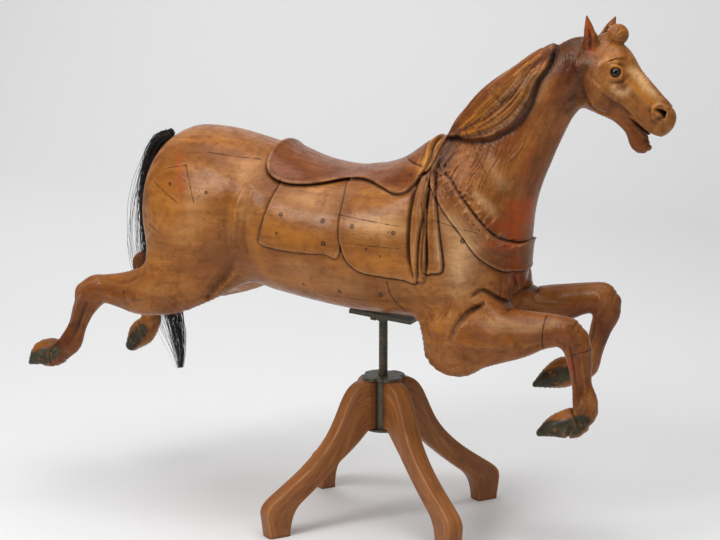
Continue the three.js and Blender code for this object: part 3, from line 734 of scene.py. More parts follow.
hoofs = {"near": [[(428, 262, 22, 1), (404, 246, 30, 1), (372, 240, 30, 1), (345, 230, 22, 1)],
                  [(-640, 290, 18, 1), (-664, 280, 26, 1), (-700, 266, 22, 1)]],
         "far": [[(352, 300, 18, 1), (333, 296, 26, 1), (306, 284, 28, 1), (280, 270, 20, 1)],
                 [(-552, 300, 20, 1), (-568, 282, 24, 1), (-584, 262, 18, 1)]]}
for name, strokes in stainsAndShadeBoth.items():
    for rows in strokes:
        pencil("both", name, rows, "soft", "max")
for name, strokes in stainsAndHighlightsNear.items():
    for rows in strokes:
        pencil("near", name, rows, "soft", "max")
for side, strokes in hoofs.items():
    for rows in strokes:
        pencil(side, "green", rows, "bell", "max")
for side in ("near", "far"):
    boards[side, "green"][:] = ease(boards[side, "green"], 0.15, 0.5)
wash("both", "red", saddleOutline, 0.78, 3)
wash("near", "red", maneOutline, 0.5, 4)
for k in range(mane["litStrands"]):   # golden strands as painted highlights, each with a dark one beside it as painted shade
    t = np.linspace(chisel.uniform(0.05, 0.3), chisel.uniform(0.6, 0.95), 6)
    drift = np.full((6, 1), chisel.uniform(0.2, 0.95))
    path = along(upperGuide, t) * (1 - drift) + along(lowerGuide, t) * drift
    pencil("near", "gold", np.column_stack([path, np.full(6, 2.6), np.full(6, 0.7)]), "soft", "max")
    path = path + (4, -3)
    pencil("near", "dark", np.column_stack([path, np.full(6, 2.0), np.full(6, 0.8)]), "soft", "max")
wash("both", "red", collar, 0.45, 4)
# a painted shadow patch at the withers, in front of the ochre block
wash("both", "dark", [(130, 770), (168, 762), (164, 700), (136, 690)], 0.62, 9)
wash("both", "gold", [(106, 745), (127, 752), (129, 696), (104, 690)], 0.6, 3)
wash("both", "dark", [(338, 925), (398, 930), (412, 880), (404, 822), (380, 806), (352, 862)], 0.5, 16)
wash("both", "red", [(230, 690), (330, 600), (420, 800), (380, 930), (300, 880)], 0.6, 26)
wash("near", "orange", [(268, 640), (326, 628), (322, 596), (270, 598)], 0.7, 12)
# painted shade just below the mane's lower edge
rim = [(x + 5, z - 5, 6, 0.8) for x, z in lowerGuide[::8]]
pencil("near", "dark", rim, "soft", "max")
neckArea = [(120, 735), (160, 650), (250, 560), (330, 540), (420, 790), (470, 770), (560, 760), (560, 990),
            (300, 990), (150, 860)]
wash("both", "skin", neckArea, 1.0, 22, False)
wash("both", "skin", [(385, 470), (350, 440), (350, 215), (460, 215), (460, 470)], 1.0, 16, False)
wash("both", "skin", [(-560, 440), (-640, 215), (-720, 215), (-720, 330), (-600, 450)], 0.8, 16, False)


def softened(a, radius):
    # three box means make a soft blur
    for axis in (0, 1):
        for _ in range(3):
            pad = [(0, 0), (0, 0)]
            pad[axis] = (radius + 1, radius)
            c = np.cumsum(np.pad(a, pad, mode="edge"), axis=axis, dtype=np.float64)
            n = 2 * radius + 1
            a = (c[n:] - c[:-n] if axis == 0 else c[:, n:] - c[:, :-n]) / n
    return a.astype(np.float32)


for key in ("near", "far", "both"):
    boards[key, "relief"] += boards[key, "hair"]
    # hollow (a small reach) and broad (a wide reach): how far the relief lies below its softened self; the
    # wood lightens ridges as wear and darkens hollows as painted shade
    boards[key, "hollow"] = softened(boards[key, "relief"], 3) - boards[key, "relief"]
    boards[key, "broad"] = softened(boards[key, "relief"], 10) - boards[key, "relief"]
stageDone("relief drawings")


# from the distance to a skin of quads

def gridLine(low, high, stops):
    # stops: (end, step) pairs in order
    out, x = [], low
    for end, step in stops:
        while x < min(end, high):
            out.append(x)
            x += step
    out.append(x)
    while (len(out) - 1) % 4:
        x += stops[-1][1]
        out.append(x)
    return np.array(out, np.float32)


carving = {"fine": 1.9, "middle": 2.6, "plain": 3.6, "targetTriangles": 192000,   # grid steps in mm
           "low": (-722, -168, 212), "high": (566, 168, 990), "saddleRear": -200, "saddleFront": 128,
           "neckFoot": 640}
coarseness = 1.0
fine, middle, plain = (carving[k] * coarseness for k in ("fine", "middle", "plain"))
saddleStep, nearStep, farStep = fine * 1.15, fine * 1.1, plain * 0.8
(lowX, lowY, lowZ), (highX, highY, highZ) = carving["low"], carving["high"]
xs = gridLine(lowX, highX, [(carving["saddleRear"], middle), (carving["saddleFront"], saddleStep),
                            (highX, fine)])
ys = gridLine(lowY, highY, [(-4, nearStep), (highY, farStep)])
zs = gridLine(lowZ, highZ, [(carving["neckFoot"], middle), (highZ, fine)])
shape = (len(xs), len(ys), len(zs))
stride = 4
cx, cy, cz = xs[::stride], ys[::stride], zs[::stride]
corner = np.stack(np.meshgrid(cx, cy, cz, indexing="ij"), -1).reshape(-1, 3)
coarse = distances(corner).reshape(len(cx), len(cy), len(cz))
stageDone(f"coarse grid {coarse.size}")
limit = stride * max(middle, saddleStep, farStep) * 1.05 + 4
near = np.abs(coarse) < limit
cell = np.zeros((len(cx) - 1, len(cy) - 1, len(cz) - 1), bool)
for i in (0, 1):
    for j in (0, 1):
        for k in (0, 1):
            cell |= near[i:len(cx) - 1 + i, j:len(cy) - 1 + j, k:len(cz) - 1 + k]
wanted = np.zeros(shape, bool)
core = np.repeat(np.repeat(np.repeat(cell, stride, 0), stride, 1), stride, 2)
for i in (0, 1):
    for j in (0, 1):
        for k in (0, 1):
            wanted[i:core.shape[0] + i, j:core.shape[1] + j, k:core.shape[2] + k] |= core
value = np.repeat(np.repeat(np.repeat(coarse, stride, 0), stride, 1), stride, 2)[:shape[0], :shape[1],
        :shape[2]]
value = np.where(value < 0, -50, 50).astype(np.float32)
ii, jj, kk = np.nonzero(wanted)
value[ii, jj, kk] = distances(np.stack([xs[ii], ys[jj], zs[kk]], 1))
stageDone(f"fine grid {len(ii)} of {value.size}")


def skin(value, xs, ys, zs):
    # one corner in each cell that the surface crosses, one quad across each crossed grid line
    solid = value < 0
    anyIn = np.zeros(tuple(n - 1 for n in solid.shape), bool)
    allIn = np.ones_like(anyIn)
    offsets = [(i, j, k) for i in (0, 1) for j in (0, 1) for k in (0, 1)]
    for i, j, k in offsets:
        part = solid[i:anyIn.shape[0] + i, j:anyIn.shape[1] + j, k:anyIn.shape[2] + k]
        anyIn |= part
        allIn &= part
    ci, cj, ck = np.nonzero(anyIn & ~allIn)
    number = np.full(anyIn.shape, -1, np.int32)
    number[ci, cj, ck] = np.arange(len(ci))
    v = {o: value[ci + o[0], cj + o[1], ck + o[2]] for o in offsets}
    total = np.zeros((len(ci), 3), np.float32)
    count = np.zeros(len(ci), np.float32)
    for a in offsets:
        for axis in range(3):
            if a[axis] == 0:
                b = tuple(1 if n == axis else a[n] for n in range(3))
                cross = (v[a] < 0) != (v[b] < 0)
                t = np.where(cross, v[a] / np.where(cross, v[a] - v[b], 1), 0)
                point = np.tile(np.float32(a), (len(ci), 1))
                point[:, axis] = t
                total += point * cross[:, None]
                count += cross
    where = total / count[:, None]
    corners = np.stack([xs[ci] + where[:, 0] * (xs[ci + 1] - xs[ci]),
                        ys[cj] + where[:, 1] * (ys[cj + 1] - ys[cj]),
                        zs[ck] + where[:, 2] * (zs[ck + 1] - zs[ck])], 1)
    quads = []
    for axis in range(3):
        b, c = (axis + 1) % 3, (axis + 2) % 3
        first = [slice(None)] * 3
        second = [slice(None)] * 3
        first[axis], second[axis] = slice(None, -1), slice(1, None)
        crossed = solid[tuple(first)] != solid[tuple(second)]
        index = list(np.nonzero(crossed))
        keep = (index[b] > 0) & (index[c] > 0) & (index[b] < number.shape[b]) & (index[c] < number.shape[c])
        index = [n[keep] for n in index]
        outward = solid[tuple(first)][tuple(index)]
        around = []
        for db, dc in ((0, 0), (-1, 0), (-1, -1), (0, -1)):
            n = list(index)
            n[b] = n[b] + db
            n[c] = n[c] + dc
            around.append(number[tuple(n)])
        quad = np.stack(around, 1)
        quads.append(np.where(outward[:, None], quad, quad[:, ::-1]))
    return corners, np.vstack(quads)


def vertexNormals(corners, quads):
    a, b, c, d = (corners[quads[:, i]] for i in range(4))
    flat = np.cross(c - a, d - b)
    total = np.stack([sum(np.bincount(quads[:, k], flat[:, i], len(corners)) for k in range(4))
                      for i in range(3)], 1)
    return unit(total).astype(np.float32)


corners, quads = skin(value, xs, ys, zs)
del value, wanted, core
for _ in range(2):   # slide every corner onto the true surface
    gap = np.clip(distances(corners.astype(np.float32)), -1.2, 1.2)
    corners = (corners - vertexNormals(corners, quads) * gap[:, None] * 0.9).astype(np.float32)
stageDone(f"skin of {len(quads)} quads")


def meshFrom(name, corners, faces, scale=mm, shift=(0, 0, 0)):
    # faces: rows of equal length
    mesh = bpy.data.meshes.new(name)
    n, m = len(corners), len(faces)
    width = faces.shape[1]
    mesh.vertices.add(n)
    mesh.vertices.foreach_set("co", (corners * scale + np.array(shift)).astype(np.float32).ravel())
    mesh.loops.add(m * width)
    mesh.loops.foreach_set("vertex_index", faces.astype(np.int32).ravel())
    mesh.polygons.add(m)
    mesh.polygons.foreach_set("loop_start", np.arange(0, m * width, width, dtype=np.int32))
    mesh.update(calc_edges=True)
    mesh.validate()
    return linked(name, mesh)


def bake(piece):
    # the evaluated mesh replaces the piece's own, and its modifiers go
    graph = bpy.context.evaluated_depsgraph_get()
    mesh = bpy.data.meshes.new_from_object(piece.evaluated_get(graph), preserve_all_data_layers=True,
                                           depsgraph=graph)
    old = piece.data
    piece.modifiers.clear()
    piece.data = mesh
    if old.users == 0 and isinstance(old, bpy.types.Mesh):
        bpy.data.meshes.remove(old)
    return piece


def linked(name, data):
    piece = bpy.data.objects.new(name, data)
    bpy.context.scene.collection.objects.link(piece)
    return piece


def pieceFrom(name, bm):
    mesh = bpy.data.meshes.new(name)
    bm.to_mesh(mesh)
    bm.free()
    return linked(name, mesh)


def smoothShade(piece):
    piece.data.polygons.foreach_set("use_smooth", np.ones(len(piece.data.polygons), bool))
    piece.data.update()


horse = meshFrom("carved_horse", corners, quads, mm, (horseX, 0, 0))
thin = horse.modifiers.new("thin", "DECIMATE")
thin.ratio = min(1.0, carving["targetTriangles"] / (2.0 * len(quads)))
bake(horse)
smoothShade(horse)
stageDone(f"horse of {len(horse.data.polygons)} faces")


# what each vertex knows: stains, wear, painted shade and painted highlights

def keepAttribute(piece, name, columns):
    mesh = piece.data
    store = mesh.attributes.new(name, "FLOAT_COLOR", "POINT")
    data = np.ones((len(mesh.vertices), 4), np.float32)
    for i, c in enumerate(columns):
        data[:, i] = c
    store.data.foreach_set("color", data.ravel())


n = len(horse.data.vertices)
co = np.zeros(n * 3)
horse.data.vertices.foreach_get("co", co)
co = co.reshape(-1, 3) * 1000 - np.array([horseX * 1000, 0, 0])
vx, vy, vz = (co[:, i].astype(np.float32) for i in range(3))
# deep and broad: how far each point lies below its softened relief, for wear on ridges and painted shade in
# hollows
deep = np.clip(0.5 + 0.20 * lookUp("hollow", vx, vy, vz), 0, 1)
broad = np.clip(0.5 + 0.09 * lookUp("broad", vx, vy, vz), 0, 1)
stainsShadeAndHighlights = {name: np.clip(lookUp(name, vx, vy, vz), 0, 1) for name in ("red", "dark", "pale", "gold", "orange",
        "green")}
keepAttribute(horse, "stainShadeAndHighlight", (stainsShadeAndHighlights["red"], stainsShadeAndHighlights["dark"], stainsShadeAndHighlights["pale"]))
keepAttribute(horse, "paintAndHighlight", (stainsShadeAndHighlights["gold"], stainsShadeAndHighlights["orange"], stainsShadeAndHighlights["green"]))
keepAttribute(horse, "wearAndShade", (deep, broad, np.clip(lookUp("skin", vx, vy, vz), 0, 1)))
stageDone("stainsShadeAndHighlights")

tone = {  # linear colours
    "honey": (0.55, 0.228, 0.052, 1), "ochre": (0.37, 0.122, 0.021, 1), "umber": (0.150, 0.044, 0.011, 1),
    "red": (0.172, 0.034, 0.0075, 1), "deepRed": (0.060, 0.013, 0.0050, 1), "dark": (0.014, 0.007, 0.0055,
            1),
    "pale": (0.74, 0.44, 0.21, 1), "gold": (0.52, 0.19, 0.018, 1), "orange": (0.42, 0.062, 0.010, 1),
    "green": (0.060, 0.055, 0.030, 1),
}


class Graph:
    # shorthand for wiring nodes: an input given as a socket is linked, anything else is its value

    def __init__(self, tree):
        self.tree = tree

    def add(self, kind, inputs=None, **settings):
        made = self.tree.nodes.new(kind)
        for key, value in settings.items():
            setattr(made, key, value)
        for key, value in (inputs or {}).items():
            socket = made.inputs[key]
            if isinstance(value, bpy.types.NodeSocket):
                self.tree.links.new(value, socket)
            else:
                socket.default_value = value
        return made

    def math(self, operation, a, b=0.0, clamp=False):
        return self.add("ShaderNodeMath", {0: a, 1: b}, operation=operation, use_clamp=clamp).outputs[0]

    def vector(self, operation, a, b=(0, 0, 0), result="Vector"):
        return self.add("ShaderNodeVectorMath", {0: a, 1: b}, operation=operation).outputs[result]

    def feed(self, value, node, name):
        self.tree.links.new(value, node.inputs[name])

    def mix(self, share, a, b, blend="MIX"):
        made = self.add("ShaderNodeMix", {0: share}, data_type="RGBA", blend_type=blend)
        for i, value in ((6, a), (7, b)):
            if isinstance(value, bpy.types.NodeSocket):
                self.tree.links.new(value, made.inputs[i])
            else:
                made.inputs[i].default_value = value
        return made.outputs[2]

    def span(self, value, a, b, c=0.0, d=1.0):
        return self.add("ShaderNodeMapRange", {0: value, 1: a, 2: b, 3: c, 4: d}, clamp=True).outputs[0]

    def noise(self, vector, scale, detail=4.0, rough=0.55, warp=0.0):
        return self.add("ShaderNodeTexNoise", {"Vector": vector, "Scale": scale, "Detail": detail,
                                               "Roughness": rough,
                                               "Distortion": warp}).outputs[0]

    def stretch(self, vector, scale, turn=(0, 0, 0)):
        return self.add("ShaderNodeMapping", {"Vector": vector, "Scale": scale, "Rotation": turn}).outputs[0]


def newGroup(name, ins, outs):
    tree = bpy.data.node_groups.new(name, "ShaderNodeTree")
    for label, kind in ins:
        tree.interface.new_socket(label, in_out="INPUT", socket_type=kind)
    for label, kind in outs:
        tree.interface.new_socket(label, in_out="OUTPUT", socket_type=kind)
    g = Graph(tree)
    return tree, g, g.add("NodeGroupInput"), g.add("NodeGroupOutput")


def makeGrainGroup():
    # wood grain that runs along the X of the vector given: fine streaks, broad figure and small pores
    tree, g, given, result = newGroup(
        "woodGrain", [("Vector", "NodeSocketVector"), ("Streaks", "NodeSocketFloat"),
                      ("Figure", "NodeSocketFloat")],
        [("Streak", "NodeSocketFloat"), ("Figure", "NodeSocketFloat"), ("Pore", "NodeSocketFloat"),
         ("Vein", "NodeSocketFloat")])
    along = g.stretch(given.outputs["Vector"], (0.10, 1.0, 1.0))
    fineStreak = g.noise(along, given.outputs["Streaks"], 5, 0.6, 0.4)
    figure = g.noise(g.stretch(given.outputs["Vector"], (0.22, 1.0, 1.0)), given.outputs["Figure"], 4, 0.55,
                     1.2)
    pore = g.noise(g.stretch(given.outputs["Vector"], (0.05, 1.0, 1.0)),
                   g.math("MULTIPLY", given.outputs["Streaks"], 3.2), 2, 0.5)
    wavy = g.noise(g.stretch(given.outputs["Vector"], (0.16, 1.0, 1.0)),
                   g.math("MULTIPLY", given.outputs["Figure"], 0.8), 5, 0.6, 1.6)
    bands = g.math("FRACT", g.math("MULTIPLY", wavy, 9.0))
    g.feed(g.span(g.math("ABSOLUTE", g.math("SUBTRACT", bands, 0.5)), 0.0, 0.17, 1.0, 0.0), result, "Vein")
    g.feed(g.span(fineStreak, 0.36, 0.66), result, "Streak")
    g.feed(g.span(figure, 0.32, 0.68), result, "Figure")
    g.feed(g.span(pore, 0.60, 0.72), result, "Pore")
    return tree


def makeAgeGroup():
    # old varnish: blotches of wear and small knocks
    tree, g, given, result = newGroup(
        "oldVarnish", [("Vector", "NodeSocketVector"), ("Size", "NodeSocketFloat")],
        [("Blotch", "NodeSocketFloat"), ("Patchy", "NodeSocketFloat"), ("Speck", "NodeSocketFloat"),
         ("Dull", "NodeSocketFloat")])
    v, size = given.outputs["Vector"], given.outputs["Size"]
    g.feed(g.span(g.noise(v, size, 4, 0.6, 0.6), 0.33, 0.67), result, "Blotch")
    g.feed(g.span(g.noise(v, g.math("MULTIPLY", size, 3.6), 6, 0.68, 0.8), 0.38, 0.64), result, "Patchy")
    g.feed(g.span(g.noise(v, g.math("MULTIPLY", size, 26.0), 3, 0.5), 0.66, 0.74), result, "Speck")
    g.feed(g.span(g.noise(v, g.math("MULTIPLY", size, 9.0), 5, 0.7), 0.35, 0.7), result, "Dull")
    return tree


def makeLineGroup():
    # a thin joint, crack or cut on the horse's side: distance to a straight stretch seen from the side
    tree, g, given, result = newGroup(
        "jointLine", [("Vector", "NodeSocketVector"), ("Start", "NodeSocketVector"),
                      ("End", "NodeSocketVector"),
                      ("Width", "NodeSocketFloat")], [("Mask", "NodeSocketFloat")])
    flat = (1.0, 0.0, 1.0)
    p = g.vector("SUBTRACT", given.outputs["Vector"], given.outputs["Start"])
    p = g.vector("MULTIPLY", p, flat)
    e = g.vector("SUBTRACT", given.outputs["End"], given.outputs["Start"])
    top = g.vector("DOT_PRODUCT", p, e, "Value")
    base = g.vector("DOT_PRODUCT", e, e, "Value")
    t = g.math("DIVIDE", top, base, True)
    foot = g.add("ShaderNodeVectorMath", {0: e}, operation="SCALE")
    g.tree.links.new(t, foot.inputs["Scale"])
    gap = g.vector("DISTANCE", p, foot.outputs[0], "Value")
    wobble = g.math("MULTIPLY", g.math("SUBTRACT", g.noise(given.outputs["Vector"], 60.0, 2), 0.5), 0.003)
    gap = g.math("ABSOLUTE", g.math("ADD", gap, wobble))
    g.feed(g.span(g.math("DIVIDE", gap, given.outputs["Width"]), 0.35, 1.0, 1.0, 0.0), result, "Mask")
    return tree


def makePegGroup():
    # a filled peg or nail hole on the horse's side: a dark rim round a plug
    tree, g, given, result = newGroup(
        "pegHole", [("Vector", "NodeSocketVector"), ("Place", "NodeSocketVector"),
                    ("Radius", "NodeSocketFloat")],
        [("Rim", "NodeSocketFloat")])
    p = g.vector("MULTIPLY", given.outputs["Vector"], (1.0, 0.0, 1.0))
    gap = g.vector("DISTANCE", p, given.outputs["Place"], "Value")
    wobble = g.math("MULTIPLY", g.math("SUBTRACT", g.noise(given.outputs["Vector"], 240.0, 2), 0.5), 0.5)
    r = g.math("ADD", g.math("DIVIDE", gap, given.outputs["Radius"]), wobble)
    rim = g.math("MULTIPLY", g.span(r, 1.35, 1.0), g.span(r, 0.25, 0.75, 0.45, 1.0))
    g.feed(rim, result, "Rim")
    return tree


grainGroup, ageGroup, lineGroup, pegGroup = makeGrainGroup(), makeAgeGroup(), makeLineGroup(), makePegGroup()


def newMaterial(name):
    material = bpy.data.materials.new(name)
    material.use_nodes = True
    g = Graph(material.node_tree)
    shader = material.node_tree.nodes["Principled BSDF"]
    return material, g, shader


def useGroup(g, group, inputs):
    made = g.add("ShaderNodeGroup", node_tree=group)
    for key, value in inputs.items():
        if isinstance(value, bpy.types.NodeSocket):
            g.tree.links.new(value, made.inputs[key])
        else:
            made.inputs[key].default_value = value
    return made.outputs


cracks = [  # x, z to x, z and width, for the near side: block joints, splits and the girth line
    (-188, 549, -176, 600, 1.6), (-176, 600, -158, 660, 1.6),
    (63, 490, 65, 464, 1.8), (65, 464, 71, 446, 1.8), (71, 446, 81, 425, 1.8),
    (-30, 608, 92, 596, 0.9), (-27, 560, 90, 556, 0.7),
    (150, 612, 230, 590, 1.0), (-420, 640, -352, 604, 1.2), (-428, 560, -400, 548, 1.3),
    (-388, 668, -350, 676, 1.0), (-350, 676, -322, 610, 1.1), (356, 446, 352, 388, 1.5),
    (440, 392, 398, 378, 1.3), (-116, 452, 20, 446, 0.8), (160, 792, 232, 690, 0.8),
    (-318, 700, -210, 690, 0.8),
]


pegs = [(-144, 601, 3.4), (-60, 595, 3.6), (-55, 555, 4.0), (0, 590, 3.6), (80, 584, 3.4), (207, 576, 4.0),
        (-133, 719, 3.0),
        (46, 462, 3.4), (-34, 463, 3.0), (-107, 470, 2.6), (-150, 567, 2.6), (30, 552, 2.2),
        (-380, 640, 3.0),
        (-300, 630, 3.0), (-480, 425, 2.4), (56, 540, 2.0), (-96, 686, 2.4), (96, 684, 2.4)]


def carvedWood():
    material, g, shader = newMaterial("carvedWood")
    place = g.add("ShaderNodeTexCoord").outputs["Object"]
    stainShadeAndHighlight = g.add("ShaderNodeSeparateColor",
                  {0: g.add("ShaderNodeAttribute", attribute_name="stainShadeAndHighlight").outputs["Color"]})
    paintAndHighlight = g.add("ShaderNodeSeparateColor",
                  {0: g.add("ShaderNodeAttribute", attribute_name="paintAndHighlight").outputs["Color"]})
    wearAndShade = g.add("ShaderNodeSeparateColor",
                 {0: g.add("ShaderNodeAttribute", attribute_name="wearAndShade").outputs["Color"]})
    red, dark, pale = stainShadeAndHighlight.outputs
    gold, orange, green = paintAndHighlight.outputs
    hollow, broadHollow, neckShare = wearAndShade.outputs
    lengthwise = useGroup(g, grainGroup, {"Vector": place, "Streaks": 62.0, "Figure": 16.0})
    upwards = useGroup(g, grainGroup, {"Vector": g.stretch(place, (1, 1, 1), (0, math.radians(62), 0)),
                                       "Streaks": 62.0, "Figure": 18.0})

    def either(name):
        return g.add("ShaderNodeMix", {0: neckShare, 2: lengthwise[name], 3: upwards[name]},
                     data_type="FLOAT").outputs[0]
    streak, figure, pore, vein = either("Streak"), either("Figure"), either("Pore"), either("Vein")
    age = useGroup(g, ageGroup, {"Vector": place, "Size": 7.5})
    colour = g.mix(figure, tone["ochre"], tone["honey"])
    colour = g.mix(g.math("MULTIPLY", age["Blotch"], 0.72), colour, tone["umber"])
    mottle = g.math("MULTIPLY", age["Patchy"], g.span(age["Dull"], 0.2, 0.8))
    colour = g.mix(g.math("MULTIPLY", mottle, 0.75), colour, tone["umber"])
    colour = g.mix(g.math("MULTIPLY", streak, 0.65), colour, g.mix(0.7, colour, tone["umber"]))
    colour = g.mix(g.math("MULTIPLY", vein, g.span(age["Dull"], 0, 1, 0.15, 0.6)), colour, tone["umber"])
    redTone = g.mix(g.math("MULTIPLY", age["Patchy"], 0.85), tone["red"], tone["deepRed"])
    redTone = g.mix(g.math("MULTIPLY", g.span(streak, 0, 1, 1.0, 0.1), g.math("MULTIPLY", figure, 0.45)),
                    redTone, tone["ochre"])
    redTone = g.mix(g.math("MULTIPLY", vein, 0.4), redTone, tone["deepRed"])
    colour = g.mix(g.math("MULTIPLY", red, g.span(age["Blotch"], 0, 1, 0.72, 1.0)), colour, redTone)
    colour = g.mix(g.math("MULTIPLY", gold, g.span(age["Patchy"], 0, 1, 1.0, 0.45)), colour, tone["gold"])
    colour = g.mix(g.math("MULTIPLY", orange, g.span(age["Patchy"], 0, 1, 1.0, 0.6)), colour, tone["orange"])
    # the pale board: cream patches with painted highlights among them
    paleShare = g.math("MULTIPLY", pale, g.span(age["Patchy"], 0, 1, 1.0, 0.5))
    colour = g.mix(g.math("MULTIPLY", paleShare, g.span(streak, 0, 1, 1.0, 0.6)), colour, tone["pale"])
    worn = g.math("MULTIPLY", g.span(hollow, 0.42, 0.12), g.span(age["Patchy"], 0, 1, 0.9, 0.2))
    colour = g.mix(g.math("MULTIPLY", worn, 0.5), colour, g.mix(0.45, colour, tone["pale"]))
    # the dark board: darker stain, with painted shade in cuts and under the mane and a painted shadow at the
    # withers
    darkStainAndShade = g.math("MULTIPLY", dark, g.span(age["Patchy"], 0, 1, 0.75, 1.0))
    colour = g.mix(darkStainAndShade, colour, tone["dark"])
    # painted shade: darker in hollows and cuts, and in broad recesses between forms
    hollowShade = g.math("MAXIMUM", g.span(hollow, 0.60, 0.95), g.math("MULTIPLY", g.span(broadHollow, 0.58, 1.0),
            0.6))
    colour = g.mix(g.math("MULTIPLY", hollowShade, 0.88), colour, tone["dark"])
    colour = g.mix(g.math("MULTIPLY", age["Speck"], 0.5), colour, tone["dark"])
    hoof = g.mix(g.math("MULTIPLY", age["Patchy"], 0.75), tone["green"], tone["dark"])
    hoof = g.mix(g.math("MULTIPLY", worn, 0.9), hoof, tone["honey"])
    hoof = g.mix(g.math("MULTIPLY", g.span(age["Dull"], 0.62, 0.9), 0.6), hoof, tone["ochre"])
    colour = g.mix(green, colour, hoof)
    cut = None
    for ax, az, bx, bz, width in cracks:
        mask = useGroup(g, lineGroup, {"Vector": place, "Start": (ax * mm + horseX, 0, az * mm),
                                       "End": (bx * mm + horseX, 0, bz * mm), "Width": width * mm})["Mask"]
        cut = mask if cut is None else g.math("MAXIMUM", cut, mask)
    for x, z, radius in pegs:
        rim = useGroup(g, pegGroup, {"Vector": place, "Place": (x * mm + horseX, 0, z * mm),
                                     "Radius": radius * mm})["Rim"]
        cut = g.math("MAXIMUM", cut, rim)
    nearOnly = g.span(g.add("ShaderNodeSeparateXYZ", {0: place}).outputs[1], -0.02, -0.03)
    cut = g.math("MULTIPLY", cut, nearOnly)
    colour = g.mix(g.math("MULTIPLY", cut, 0.8), colour, tone["dark"])
    g.feed(colour, shader, "Base Color")
    rough = g.span(age["Dull"], 0, 1, 0.26, 0.50)
    rough = g.math("ADD", rough, g.math("MULTIPLY", g.math("MAXIMUM", hollowShade, green), 0.16), True)
    g.feed(rough, shader, "Roughness")
    g.feed(g.span(age["Patchy"], 0, 1, 0.26, 0.08), shader, "Coat Weight")
    shader.inputs["Coat Roughness"].default_value = 0.18
    shader.inputs["Specular IOR Level"].default_value = 0.14
    shader.inputs["Coat IOR"].default_value = 1.38
    fibres = g.math("ADD", g.math("MULTIPLY", streak, 0.35), g.math("MULTIPLY", pore, -0.5))
    dents = g.math("ADD", g.math("MULTIPLY", age["Dull"], 0.5), g.math("MULTIPLY", age["Speck"], -1.0))
    height = g.math("ADD", g.math("ADD", fibres, dents), g.math("MULTIPLY", cut, -3.0))
    bump = g.add("ShaderNodeBump", {"Strength": 0.5, "Distance": 0.0009, "Height": height})
    g.feed(bump.outputs[0], shader, "Normal")
    return material


def standWood():
    material, g, shader = newMaterial("standWood")
    grainPlace = g.add("ShaderNodeAttribute", attribute_name="grain").outputs["Vector"]
    place = g.add("ShaderNodeTexCoord").outputs["Object"]
    hollow = g.add("ShaderNodeSeparateColor",
                   {0: g.add("ShaderNodeAttribute", attribute_name="wearAndShade").outputs["Color"]})
    wood = useGroup(g, grainGroup, {"Vector": grainPlace, "Streaks": 120.0, "Figure": 34.0})
    age = useGroup(g, ageGroup, {"Vector": place, "Size": 16.0})
    colour = g.mix(wood["Figure"], (0.46, 0.175, 0.045, 1), (0.27, 0.086, 0.022, 1))
    colour = g.mix(g.math("MULTIPLY", wood["Streak"], 0.65), colour, (0.14, 0.045, 0.015, 1))
    colour = g.mix(g.math("MULTIPLY", wood["Vein"], 0.5), colour, (0.11, 0.036, 0.012, 1))
    colour = g.mix(g.math("MULTIPLY", age["Blotch"], 0.35), colour, (0.21, 0.072, 0.024, 1))
    worn = g.math("MULTIPLY", hollow.outputs[0], g.span(age["Patchy"], 0, 1, 1.0, 0.4))
    colour = g.mix(g.math("MULTIPLY", worn, 0.38), colour, (0.46, 0.21, 0.08, 1))
    # painted shade at the leg's top end under the hub and at its foot on the floor
    colour = g.mix(g.math("MULTIPLY", hollow.outputs[1], 0.8), colour, (0.05, 0.022, 0.011, 1))
    colour = g.mix(g.math("MULTIPLY", wood["Pore"], 0.55), colour, (0.06, 0.024, 0.01, 1))
    colour = g.mix(g.math("MULTIPLY", age["Speck"], 0.5), colour, (0.04, 0.018, 0.01, 1))
    g.feed(colour, shader, "Base Color")
    g.feed(g.span(age["Dull"], 0, 1, 0.34, 0.56), shader, "Roughness")
    shader.inputs["Coat Weight"].default_value = 0.2
    shader.inputs["Coat Roughness"].default_value = 0.3
    shader.inputs["Coat IOR"].default_value = 1.38
    shader.inputs["Specular IOR Level"].default_value = 0.18
    height = g.math("ADD", g.math("MULTIPLY", wood["Streak"], 0.5), g.math("MULTIPLY", wood["Pore"], -1.0))
    bump = g.add("ShaderNodeBump", {"Strength": 0.55, "Distance": 0.0006, "Height": height})
    g.feed(bump.outputs[0], shader, "Normal")
    return material


def metal(name, base, tarnish, rust, rustShare, roughness=(0.38, 0.68), metallic=0.75):
    material, g, shader = newMaterial(name)
    place = g.add("ShaderNodeTexCoord").outputs["Object"]
    age = useGroup(g, ageGroup, {"Vector": place, "Size": 34.0})
    colour = g.mix(age["Patchy"], base, tarnish)
    rusty = g.math("MULTIPLY", g.span(age["Blotch"], 0.35, 0.8), rustShare)
    colour = g.mix(rusty, colour, rust)
    colour = g.mix(g.math("MULTIPLY", age["Speck"], 0.6), colour, (0.02, 0.015, 0.012, 1))
    g.feed(colour, shader, "Base Color")
    g.feed(g.span(age["Dull"], 0, 1, roughness[0], roughness[1]), shader, "Roughness")
    g.feed(g.math("SUBTRACT", metallic, g.math("MULTIPLY", rusty, 0.6), True), shader, "Metallic")
    height = g.math("ADD", g.math("MULTIPLY", age["Dull"], 0.6), g.math("MULTIPLY", age["Speck"], -0.8))
    bump = g.add("ShaderNodeBump", {"Strength": 0.5, "Distance": 0.0005, "Height": height})
    g.feed(bump.outputs[0], shader, "Normal")
    return material


def hairMaterial():
    material, g, shader = newMaterial("blackHorsehair")
    place = g.add("ShaderNodeTexCoord").outputs["Object"]
    tint = g.span(g.noise(g.stretch(place, (1, 1, 0.12)), 260.0, 3), 0.35, 0.7)
    g.feed(g.mix(tint, (0.006, 0.005, 0.005, 1), (0.028, 0.020, 0.016, 1)), shader, "Base Color")
    g.feed(g.span(tint, 0, 1, 0.42, 0.6), shader, "Roughness")
    return material


